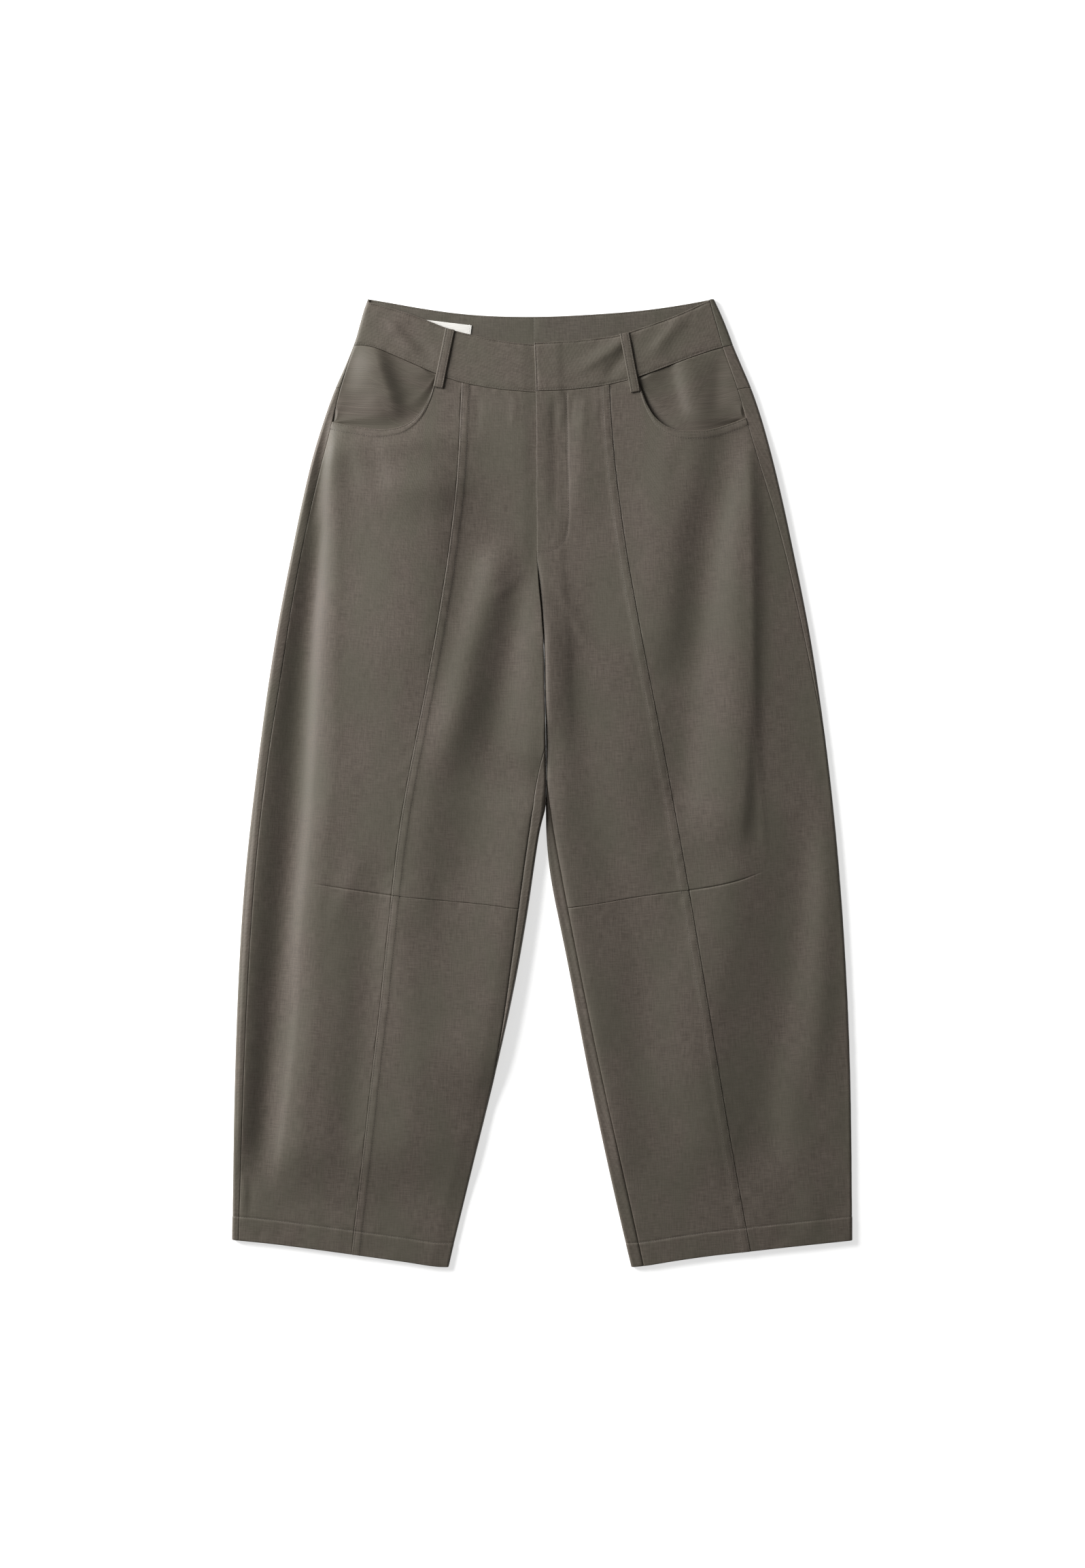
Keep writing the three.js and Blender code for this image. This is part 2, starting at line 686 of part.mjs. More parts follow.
// Rows of one pattern, with a seam gap or a hem at its ends and columns at set distances from its edges.
function rowsOf(pattern, { places, topGap, bottomGap, nearOffsets, farOffsets, spread }) {
  const height = distance(pattern(0.5, 0), pattern(0.5, 1));
  return places.map((place) => {
    const v = mix(topGap / height, 1 - bottomGap / height, place);
    const width = distance(pattern(0, v), pattern(1, v));
    const firstInner = nearOffsets[nearOffsets.length - 1] / width;
    const lastInner = 1 - farOffsets[0] / width;
    const us = [
      ...nearOffsets.map((offset) => offset / width),
      ...spread.map((share) => mix(firstInner, lastInner, share)),
      ...farOffsets.map((offset) => 1 - offset / width),
    ];
    return us.map((u) => [...pattern(u, v), u * width]);
  });
}

// The turned-up hem lies a little proud of the leg.
const hemRaise = (s, x, y) => (
  HEM_RAISE * smooth(HEM_DEPTH + HEM_STEP, HEM_DEPTH - HEM_STEP, y - s.hem(x)));
// Places below the knee that step up onto the hem.
const PLACE_ROOM = 0.02;
function hemPlaces(pattern) {
  const height = distance(pattern(0.5, 0), pattern(0.5, 1));
  const onto = [HEM_DEPTH + HEM_STEP, HEM_DEPTH - HEM_STEP].map((depth) => 1 - depth / height);
  return [...BELOW_KNEE.filter((place) => place < onto[0] - PLACE_ROOM), ...onto, 1];
}

// Front side panel, with the knee dart pressed into it.
const DART_END = { right: -255, left: 245 };
const SIDE_SPREAD = [0.07, 0.14, 0.22, 0.32, 0.44, 0.57, 0.7, 0.84, 0.92];
function frontSide(s) {
  const { above, below } = sidePanelPatterns(s);
  const nearOffsets = s === left ? ROLL_OFFSETS : [0];
  const cut = { nearOffsets, farOffsets: [HALF_GAP], spread: SIDE_SPREAD, bottomGap: 0 };
  const kneeStep = DART_HALF_WIDTH / distance(above(1, 0), above(1, 1));
  const upperPlaces = [...ABOVE_KNEE.slice(0, -1), 1 - kneeStep, 1];
  const upperRows = rowsOf(above, { ...cut, places: upperPlaces, topGap: HALF_GAP });
  const lowerStep = DART_HALF_WIDTH / distance(below(1, 0), below(1, 1));
  const lowerPlaces = [lowerStep, ...hemPlaces(below).slice(1)];
  const lowerRows = rowsOf(below, { ...cut, places: lowerPlaces, topGap: 0 });
  const height = (x, y) => upperHeight(s, x, y);
  const kneeRow = upperRows.length - 1;
  const grid = [...upperRows, ...lowerRows].map((row, i) => row.map(([x, y]) => {
    const inDart = i === kneeRow ? smooth(0, DART_TAPER, (x - DART_END[s.name]) * s.towards) : 0;
    return facePoint(height, x, y, hemRaise(s, x, y) - DART_DEPTH * inDart);
  }));
  return wall(grid, CLOTH);
}

// Front centre panels, above and below the knee seam. A lapped strip stands proud along the panel seam.
const LAP_OFFSETS = [HALF_GAP, LAP_WIDTH - LAP_STEP, LAP_WIDTH + LAP_STEP];
const CENTRE_SPREAD = [0.16, 0.33, 0.5, 0.67, 0.84];
const CENTRE_FAR_OFFSETS = [7, 3.2, 1.2, 0.35, 0];
function frontCentre(s, whole) {
  const far = frontInnerEdge(s);
  const panelTop = crossing(s.panel, s.bandSeam);
  const farTop = crossing(far, s.bandSeam);
  const kneeNear = kneeY(s, s.panel);
  const kneeFar = kneeY(s, far);
  const knee = across(s.knee, s.panel(kneeNear), far(kneeFar));
  const height = (x, y) => upperHeight(s, x, y);
  const lapOn = (offset) => LAP_RAISE * smooth(LAP_WIDTH + LAP_STEP, LAP_WIDTH - LAP_STEP, offset);
  const cut = { nearOffsets: LAP_OFFSETS, farOffsets: CENTRE_FAR_OFFSETS, spread: CENTRE_SPREAD };
  let rows;
  if (whole === 'upper') {
    const band = across(s.bandSeam, s.panel(panelTop), far(farTop));
    const pattern = patch(band, knee, down(s.panel, panelTop, kneeNear), down(far, farTop, kneeFar));
    rows = rowsOf(pattern, { ...cut, places: ABOVE_KNEE, topGap: HALF_GAP, bottomGap: HALF_GAP });
  } else {
    const hemNear = hemY(s, s.panel);
    const hemFar = hemY(s, far);
    const hem = across(s.hem, s.panel(hemNear), far(hemFar));
    const pattern = patch(knee, hem, down(s.panel, kneeNear, hemNear), down(far, kneeFar, hemFar));
    rows = rowsOf(pattern, { ...cut, places: hemPlaces(pattern), topGap: HALF_GAP, bottomGap: 0 });
  }
  const grid = rows.map((row) => row.map(([x, y, offset]) => (
    facePoint(height, x, y, lapOn(offset) + (whole === 'lower' ? hemRaise(s, x, y) : 0)))));
  return wall(grid, CLOTH);
}

// Lines across the back, hidden on the underside: the band's lower seam and the yoke's.
const BACK_BAND_SEAM = { side: 476.4, centre: 456 };
const YOKE_SEAM = { side: 430, centre: 388 };
const HALF_WAIST = 206;
const HALF_HIP = 222;
const backBandSeam = (x) => mix(BACK_BAND_SEAM.centre, BACK_BAND_SEAM.side, (x / HALF_WAIST) ** 2);
const yokeSeam = (x) => mix(YOKE_SEAM.centre, YOKE_SEAM.side, Math.min(1, Math.abs(x) / HALF_HIP));
const backTop = through(BACK_TOP, 'x', 'y');

// A back piece lies flat on the surface, turns up round the edge and over the top, and ends at its seam.
const OUTER_TURN_COLUMNS = 7;
const INNER_TURN_COLUMNS = 6;
const FLAT_COLUMNS = 4;
function turnedPoint(radius, arc, edgeX, y, inwards, height) {
  const x = edgeX + inwards * insetAt(radius, arc);
  if (arc >= radius * QUARTER) return facePoint(height, x, y);
  if (arc <= -radius * QUARTER) return flatPoint(x, y);
  const angle = arc / radius;
  const out = new THREE.Vector3(-inwards * Math.cos(angle), 0, Math.sin(angle));
  return { at: new THREE.Vector3(x, y, radius * (1 + Math.sin(angle))), out };
}
const flatPoint = (x, y) => ({ at: new THREE.Vector3(x, y, 0), out: new THREE.Vector3(0, 0, -1) });
const blendPoints = (a, b, t) => ({
  at: a.at.clone().lerp(b.at, t),
  out: a.out.clone().lerp(b.out, t).normalize(),
});

function backRows(s, { topLine, bottomLine, places, topGap, bottomGap, height, hasInseam }) {
  const topOuter = crossing(s.outer, topLine);
  const bottomOuter = crossing(s.outer, bottomLine);
  const topInner = crossing(s.inner, topLine);
  const bottomInner = crossing(s.inner, bottomLine);
  const pattern = patch(
    across(topLine, s.outer(topOuter), s.inner(topInner)),
    across(bottomLine, s.outer(bottomOuter), s.inner(bottomInner)),
    down(s.outer, topOuter, bottomOuter),
    down(s.inner, topInner, bottomInner),
  );
  const length = distance(pattern(0.5, 0), pattern(0.5, 1));
  return places.map((place) => {
    const v = mix(topGap / length, 1 - bottomGap / length, place);
    const width = distance(pattern(0, v), pattern(1, v));
    const yAt = (inset) => pattern(inset / width, v)[1];
    const flat = (inset) => flatPoint(...pattern(inset / width, v));
    const outerArcs = steps(s.sideArc(yAt(0)) - HALF_GAP, -OUTER_ROLL * QUARTER, OUTER_TURN_COLUMNS);
    const row = outerArcs.map((arc) => {
      const y = yAt(insetAt(OUTER_ROLL, arc));
      return turnedPoint(OUTER_ROLL, arc, s.outer(y), y, s.towards, height);
    });
    const lastFlat = width - INNER_ROLL;
    row.push(...steps(OUTER_ROLL, lastFlat, FLAT_COLUMNS).slice(1).map(flat));
    if (!hasInseam) return [...row, flat(width)];
    const innerY = yAt(width);
    const turn = belowCrotch(innerY);
    const innerArcs = steps(-INNER_ROLL * QUARTER, s.inseamArc(innerY) - HALF_GAP, INNER_TURN_COLUMNS);
    innerArcs.slice(1).forEach((arc, k) => {
      const share = (k + 1) / INNER_TURN_COLUMNS;
      const y = yAt(width - insetAt(INNER_ROLL, arc));
      const turned = turnedPoint(INNER_ROLL, arc, s.inner(y), y, -s.towards, height);
      row.push(blendPoints(flat(mix(lastFlat, width, share)), turned, turn));
    });
    return row;
  });
}

// The back leg starts at the yoke seam, a little way down the fronts' own places.
const YOKE_PLACE = 0.073;
function backLeg(s) {
  const upperPlaces = ABOVE_KNEE.filter((place) => place > YOKE_PLACE + PLACE_ROOM);
  const common = { height: (x, y) => upperHeight(s, x, y), hasInseam: true, bottomGap: 0 };
  const above = backRows(s, {
    ...common, topLine: yokeSeam, bottomLine: s.knee, topGap: HALF_GAP,
    places: [0, ...upperPlaces.map((place) => (place - YOKE_PLACE) / (1 - YOKE_PLACE))],
  });
  const below = backRows(s, {
    ...common, topLine: s.knee, bottomLine: s.hem, topGap: 0, places: BELOW_KNEE.slice(1),
  });
  return wall([...above, ...below], CLOTH);
}
const YOKE_ROWS = 4;
function backYoke(s) {
  const rows = backRows(s, {
    topLine: backBandSeam,
    bottomLine: yokeSeam,
    places: steps(0, 1, YOKE_ROWS),
    topGap: HALF_GAP,
    bottomGap: HALF_GAP,
    height: (x, y) => upperHeight(s, x, y),
    hasInseam: false,
  });
  return wall(rows, CLOTH);
}
const BAND_PLACES = [0, 0.12, 0.36, 0.64, 0.88, 1];
function backBand(s) {
  const rows = backRows(s, {
    topLine: backTop,
    bottomLine: backBandSeam,
    places: BAND_PLACES,
    topGap: 0,
    bottomGap: HALF_GAP,
    height: (x, y) => bandHeight(s, x, y),
    hasInseam: false,
  });
  return wall(rows, BAND_CLOTH);
}

// Front waistband, from the side seam to the centre.
const BAND_COLUMNS = 15;
const BAND_SPREAD = steps(0, 1, BAND_COLUMNS).slice(1, -1);
function frontBand(s) {
  const near = frontSideEdge(s, SEAM_GAP);
  const nearTop = crossing(near, s.frontTop);
  const nearBottom = crossing(near, s.bandSeam);
  const farTop = crossing(s.inner, s.frontTop);
  const farBottom = crossing(s.inner, s.bandSeam);
  const pattern = patch(
    across(s.frontTop, near(nearTop), s.inner(farTop)),
    across(s.bandSeam, near(nearBottom), s.inner(farBottom)),
    down(near, nearTop, nearBottom),
    down(s.inner, farTop, farBottom),
  );
  const rows = rowsOf(pattern, {
    places: BAND_PLACES, topGap: 0, bottomGap: HALF_GAP,
    nearOffsets: ROLL_OFFSETS, farOffsets: [0], spread: BAND_SPREAD,
  });
  const height = (x, y) => bandHeight(s, x, y);
  return wall(rows.map((row) => row.map(([x, y]) => facePoint(height, x, y))), BAND_CLOTH);
}

// Pocket facing: level with the side and waist seams, and dropped under the side panel from the mouth on.
const FACING_PLACES = [0, 0.05, 0.1, 0.18, 0.28, 0.37, 0.46, 0.54, 0.62, 0.7, 0.78, 0.85, 0.91, 0.96, 1];
const FACING_SPREAD = [0, 0.22, 0.45, 0.66, 0.84, 1];
const FACING_CORNER = 0.46;
const FACING_SETBACK = 1.2;
// Shares of the facing: its ends and its far edge dip under their neighbours, and its open middle ripples.
const FACING_END = { shut: 0.02, open: 0.1 };
const FACING_DIP = { start: 0.15, end: 0.85 };
const FACING_OPEN = 0.6;
function pocketFacing(s) {
  const near = frontSideEdge(s, SEAM_GAP);
  const mouth = curveThrough(s.pocket);
  const cornerY = crossing(near, s.bandSeam) - SEAM_GAP;
  const [, mouthSideY] = s.pocket[0];
  const [mouthBandX] = s.pocket[s.pocket.length - 1];
  const far = (t) => {
    if (t < FACING_CORNER) {
      const y = mix(mouthSideY, cornerY, t / FACING_CORNER);
      return [near(y), y];
    }
    const x = mix(near(cornerY), mouthBandX, (t - FACING_CORNER) / (1 - FACING_CORNER));
    return [x, s.bandSeam(x) - SEAM_GAP];
  };
  const grid = FACING_PLACES.map((t) => {
    const [farX, farY] = far(t);
    const lip = mouth.getPointAt(t);
    const along = mouth.getTangentAt(t);
    const edgeX = lip.x + s.towards * (FACING_SETBACK * (1 - t)) + along.y * POCKET_UNDERLAP * s.towards;
    const edgeY = Math.min(lip.y - along.x * POCKET_UNDERLAP * s.towards, s.bandSeam(edgeX) - 2 * SEAM_GAP);
    const toLip = distance([farX, farY], [lip.x, lip.y]);
    const lipShare = toLip / (toLip + POCKET_UNDERLAP);
    const tuckedEnds = smooth(FACING_END.open, FACING_END.shut, Math.min(t, 1 - t));
    return FACING_SPREAD.map((share) => {
      const x = mix(farX, edgeX, share);
      const y = mix(farY, edgeY, share);
      const tucked = Math.max(tuckedEnds, smooth(FACING_DIP.start, FACING_DIP.end * lipShare, share));
      const open = smooth(lipShare, FACING_OPEN * lipShare, share) * (1 - tuckedEnds);
      const height = (px, py) => upperHeight(s, px, py) + open * sumFolds(facingFolds, px, py);
      return facePoint(height, x, y, -tucked * (CLOTH + POCKET_DROP));
    });
  });
  return wall(grid, FACING_CLOTH);
}

// Belt loops, from the top edge of the band to just below its seam, standing off in the middle.
const LOOPS = {
  right: { top: [-100.2, 494], bottom: [-113.2, 430.4], width: 10.4 },
  left: { top: [89.4, 489.6], bottom: [101.6, 425.4], width: 10.4 },
};
const LOOP_ROWS = 10;
const LOOP_END_LIFT = 0.35;
function beltLoop(s) {
  const { top, bottom, width } = LOOPS[s.name];
  const length = distance(top, bottom);
  const acrossX = -(bottom[1] - top[1]) / length;
  const acrossY = (bottom[0] - top[0]) / length;
  const level = FRONT_LEVEL + BAND_RAISE + LOOP_END_LIFT + LOOP_CLOTH;
  const grid = steps(0, 1, LOOP_ROWS).map((t) => {
    const lift = LOOP_LIFT * Math.sin(Math.PI * t) ** LOOP_FULLNESS;
    const slope = (LOOP_LIFT * QUARTER * Math.cos(Math.PI * t)) / length;
    const out = new THREE.Vector3(-slope * acrossY, slope * acrossX, 1).normalize();
    return [-1, 0, 1].map((side) => {
      const x = mix(top[0], bottom[0], t) + (side * acrossX * width) / 2;
      const y = mix(top[1], bottom[1], t) + (side * acrossY * width) / 2;
      return { at: new THREE.Vector3(x, y, level + lift), out };
    });
  });
  return wall(grid, LOOP_CLOTH);
}

// Blank label sewn to the inside of the back waistband, partly under the front one.
const LABEL = { corner: [-76.6, 498.4], width: 58, depth: 22, turn: -0.119 };
function label() {
  const [x0, y0] = LABEL.corner;
  const level = BAND_CLOTH + SEAM_GAP + LABEL_CLOTH;
  const out = new THREE.Vector3(0, 0, 1);
  const grid = [0, LABEL.depth].map((depth) => [0, LABEL.width].map((width) => {
    const x = x0 - width * Math.cos(LABEL.turn) + depth * Math.sin(LABEL.turn);
    const y = y0 - width * Math.sin(LABEL.turn) - depth * Math.cos(LABEL.turn);
    return { at: new THREE.Vector3(x, y, level), out };
  }));
  return wall(grid, LABEL_CLOTH);
}

for (const s of [right, left]) {
  addPiece(`front_waistband_${s.name}`, frontBand(s), SUITING);
  addPiece(`back_waistband_${s.name}`, backBand(s), SUITING_SHADE);
  addPiece(`back_yoke_${s.name}`, backYoke(s), SUITING);
  addPiece(`back_leg_${s.name}`, backLeg(s), SUITING);
  addPiece(`front_side_${s.name}`, frontSide(s), SUITING);
  addPiece(`front_center_upper_${s.name}`, frontCentre(s, 'upper'), SUITING);
  addPiece(`front_center_lower_${s.name}`, frontCentre(s, 'lower'), SUITING);
  addPiece(`pocket_facing_${s.name}`, pocketFacing(s), SUITING_SHADE);
  addPiece(`belt_loop_${s.name}`, beltLoop(s), SUITING);
}
addPiece('label', label(), LABEL_WHITE);

export default trousers;
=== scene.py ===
import math
from types import SimpleNamespace

import bpy
import numpy as np
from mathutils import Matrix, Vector
from mathutils.bvhtree import BVHTree


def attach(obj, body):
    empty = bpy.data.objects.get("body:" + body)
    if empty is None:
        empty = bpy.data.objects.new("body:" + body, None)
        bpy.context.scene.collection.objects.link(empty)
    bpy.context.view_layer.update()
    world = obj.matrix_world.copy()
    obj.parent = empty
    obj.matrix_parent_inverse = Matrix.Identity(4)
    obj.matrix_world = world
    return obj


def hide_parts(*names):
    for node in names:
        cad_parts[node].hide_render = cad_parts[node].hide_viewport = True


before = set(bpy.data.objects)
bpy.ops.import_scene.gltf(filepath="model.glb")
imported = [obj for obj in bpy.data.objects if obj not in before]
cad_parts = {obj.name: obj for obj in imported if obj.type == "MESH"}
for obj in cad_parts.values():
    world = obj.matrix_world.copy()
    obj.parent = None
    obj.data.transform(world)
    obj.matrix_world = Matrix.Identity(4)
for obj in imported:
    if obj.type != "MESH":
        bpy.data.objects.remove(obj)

# Barrel leg trousers in a wool-blend suiting, laid flat with the front up. The waist is towards +Y.
# Right and left are the wearer's, so the right leg is at negative X. The forms are worked out in
# millimetres and made in metres. Every panel is a closed wall of cloth: a skin that follows the
# folds, a small relief on its face, and a plain inner face behind it.

bl_info = {
    "name": "Barrel Leg Trousers",
    "version": (1, 0, 0),
    "blender": (4, 5, 0),
    "location": "3D View > Sidebar > Trousers",
    "description": "Sews barrel leg trousers that lie flat, panel by panel, with their stitching",
    "category": "Object",
}

MM = 0.001

# Gaps left at the seams: at the waistband and the facings, on each side of a leg's seam, and at the centre
SEAM_GAP = 0.3
HALF_GAP = 0.05
CENTRE_GAP = 0.01

# The legs lie flat with round folded edges, and their fronts are level between these
OUTER_ROLL = 3.1
INNER_ROLL = 2.6
FRONT_LEVEL = 2 * OUTER_ROLL
INNER_EASE = 22
FOLD_FADE = 7
QUARTER = math.pi / 2

# The inner edges begin to roll at the crotch, at first only a little, and the legs part lower down
CROTCH_Y = 150
CROTCH_TURN = 14
CROTCH_FILL = 0.75
CROTCH_FILL_Y = (40, 70)
LEG_GAP_TOP_Y = -28
LEG_GAP_TURN = 20

# Depths and raised strips of turned and lapped cloth
LAP_RAISE = 0.45
HEM_DEPTH = 26
HEM_RAISE = 0.4
BAND_RAISE = 0.4
FLY_WIDTH = 33
FLY_RAISE = 0.6
FLY_EDGE_SHARE = 0.7
FLY_TUCK = 0.7
FLY_TUCK_WIDTH = 16
FLY_TUCK_TURN = 6
FLY_FOOT_Y = 205
FLY_END_Y = 251

# About where a line across the garment meets a near and a far line down it, to start looking from
BAND_TOP_ABOUT = (524, 478)
BAND_SEAM_ABOUT = (475, 426)
PANEL_TOP_ABOUT = (434, 426)
KNEE_ABOUT = (-120, -120)
HEM_ABOUT = (-510, -510)
BACK_TOP_ABOUT = (400, 400)
BACK_FOOT_ABOUT = (0, 0)
MEETING_ROUNDS = 20


def columns(names, rows):
    """A table as one array for each named column."""
    return {name: np.array([row[i] for row in rows], float) for i, name in enumerate(names.split())}


RIGHT_SIDE = columns("y outer side_seam panel_seam", [
    (528, -189.5, -189.5, -87),
    (514, -194.4, -194.4, -87),
    (500, -198.4, -198.4, -87),
    (486, -202.3, -202.3, -87),
    (476, -205.6, -205.4, -87.2),
    (455, -214, -212, -87.5),
    (430, -225, -219.6, -88),
    (400, -236, -227.1, -89.2),
    (370, -245.4, -234.4, -90.4),
    (340, -253.4, -241.7, -92.2),
    (300, -262.4, -251.2, -95.7),
    (250, -272.6, -261.8, -101.8),
    (200, -282.4, -271, -109.4),
    (150, -291.3, -278.9, -117.8),
    (100, -299, -286.6, -127),
    (50, -305.8, -294.6, -136.9),
    (0, -312.1, -301.4, -146.6),
    (-50, -318, -307.3, -155),
    (-100, -323.1, -312.2, -161.4),
    (-150, -327, -315.9, -166.8),
    (-200, -329.9, -318.9, -172),
    (-250, -332.1, -321.5, -177.3),
    (-300, -333.8, -323.6, -183.3),
    (-350, -335.1, -325.4, -189),
    (-400, -336.1, -327.2, -194.6),
    (-450, -336.9, -329, -200.4),
    (-500, -337.6, -330.6, -206.1),
    (-530, -337.8, -331.4, -209.4),
])
LEFT_SIDE = columns("y outer side_seam panel_seam", [
    (528, 186.6, 182, 73),
    (514, 193.2, 185.8, 73),
    (500, 199.2, 189.9, 73),
    (486, 204.6, 193.8, 73),
    (476, 208.2, 196.8, 73),
    (455, 217, 204.4, 73.2),
    (430, 227.6, 212.8, 73.7),
    (400, 238, 221.6, 75.2),
    (370, 246.6, 230.4, 77.4),
    (340, 254.3, 239.4, 80.3),
    (300, 263.6, 251.6, 85.2),
    (250, 274.2, 265, 92.4),
    (200, 284.4, 276.6, 101),
    (150, 293.6, 287.4, 110.2),
    (100, 301.3, 297.8, 120),
    (50, 308.2, 307.4, 129.8),
    (0, 314.3, 314.25, 139.2),
    (-50, 319.6, 319.6, 148.2),
    (-100, 324, 324, 157),
    (-150, 327.8, 327.8, 165.6),
    (-200, 330.9, 330.9, 174),
    (-250, 333.4, 333.4, 182.2),
    (-300, 335.2, 335.2, 190.2),
    (-350, 336.4, 336.4, 198.4),
    (-400, 337.1, 337.1, 207),
    (-450, 337.5, 337.5, 216),
    (-500, 337.7, 337.7, 225.2),
    (-530, 337.8, 337.8, 230.8),
])
CENTRE_LINE = columns("y x", [
    (530, -9.4), (478, -8.6), (426, -6.8), (340, -5.9), (280, -5.5), (245, -5.2), (215, -3.4),
    (185, -0.6), (150, 1.8), (100, 3), (50, 4), (0, 4.4), (-28, 3.8),
])
RIGHT_INNER = columns("y inner inseam", [
    (-28, 3.6, -9.8),
    (-50, -2, -13.4),
    (-75, -6.2, -17.2),
    (-100, -9.9, -20.7),
    (-125, -13.5, -24.1),
    (-150, -17.4, -27.4),
    (-200, -26, -34),
    (-250, -36, -41),
    (-300, -47.2, -49.3),
    (-350, -58.9, -59.2),
    (-400, -71.1, -71.12),
    (-450, -83.4, -83.4),
    (-500, -95.6, -95.6),
    (-530, -102.6, -102.6),
])
LEFT_INNER = columns("y inner inseam", [
    (-28, 4, 8.6),
    (-50, 4.4, 12.2),
    (-75, 6, 16.4),
    (-100, 9, 20.9),
    (-125, 13.3, 25.5),
    (-150, 18.4, 30.4),
    (-200, 28.5, 40.2),
    (-250, 38, 50.2),
    (-300, 47.5, 60.6),
    (-350, 57.5, 71.4),
    (-400, 68.1, 82.8),
    (-450, 79.2, 94),
    (-500, 90.8, 105),
    (-530, 98, 111.6),
])
RIGHT_INSEAM_START = columns("y inset", [(46, 0), (17, 6.8), (-28, 13.4)])
LEFT_INSEAM_START = columns("y inset", [(10, 0), (-10, 1.6), (-28, 4.6)])

BACK_TOP = columns("x y", [
    (-190, 527.2), (-168, 523.5), (-131, 517), (-94, 511.8), (-57, 508.8),
    (-2, 508), (54, 510.4), (109, 514.8), (146, 519.8), (187, 527.2),
])
FRONT_TOP_RIGHT = columns("x y", [
    (-190, 523.6), (-162, 516.2), (-143, 510.3), (-126, 503.8), (-107, 496.3),
    (-91, 491.2), (-77, 488), (-52, 482.8), (-28, 479.2), (-8, 477.6),
])
FRONT_TOP_LEFT = columns("x y", [
    (-9, 479.2), (25, 481), (54, 483.6), (84, 488), (99, 492.4),
    (119, 499.2), (145, 508.8), (167, 518.4), (183, 525.8), (190, 528.6),
])
BAND_SEAM_RIGHT = columns("x y", [
    (-206, 476.4), (-194, 476.2), (-180, 473), (-162, 465.8), (-143, 457.6), (-125, 449.6),
    (-105, 441.4), (-88, 436.2), (-65, 431.4), (-40, 427.8), (-7, 425.2),
])
BAND_SEAM_LEFT = columns("x y", [
    (-8, 426.4), (20, 427.4), (46, 429.6), (71, 433.3), (93, 438.4), (107, 442.6),
    (137, 453.6), (163, 463.4), (184, 470.6), (197, 474), (208, 475.8),
])
KNEE_RIGHT = columns("x y", [
    (-330, -103), (-313, -104), (-255, -108.6), (-228, -113), (-192, -118.4),
    (-163, -122.4), (-133, -125.8), (-91, -129.4), (-62, -132.4), (-20, -138),
])
KNEE_LEFT = columns("x y", [
    (18, -137.6), (58, -132), (105, -124), (150, -118), (162, -116.6),
    (192, -111.6), (218, -105), (239, -97), (270, -86), (330, -76),
])
HEM_RIGHT = columns("x y", [
    (-338, -497.4), (-298, -501.4), (-261, -506), (-224, -511),
    (-187, -516.2), (-150, -521.4), (-113, -526.8), (-101, -527.2),
])
HEM_LEFT = columns("x y", [
    (97, -527.2), (110, -526), (146, -520.2), (183, -515),
    (220, -510.8), (257, -506.6), (294, -502.6), (338, -498),
])

POCKET_RIGHT = [
    (-228.6, 393.3), (-217, 390.6), (-198.5, 387.2), (-180, 385), (-165, 385.4), (-149, 389.8),
    (-138, 397.6), (-129, 408.6), (-122.6, 421.2), (-118.6, 432), (-115.6, 445.6),
]
POCKET_LEFT = [
    (222.2, 398), (201.6, 390.2), (181, 384.6), (160, 383.2), (145.4, 384.6),
    (133.6, 389.6), (123.2, 398.2), (114.4, 411.4), (108.8, 425.4), (103.6, 441.6),
]
FLY_STITCH = [
    (26.3, 423.6), (27.8, 352.6), (28.5, 310.4), (28.5, 284.5),
    (25.5, 267.5), (18.1, 257.9), (7, 252.4), (-3.6, 251.2),
]


def fold(name, height, west, east, path):
    """A soft ridge, or a trough where height is negative, with its reach on either side of its path."""
    return SimpleNamespace(name=name, height=height, west=west, east=east, path=path)


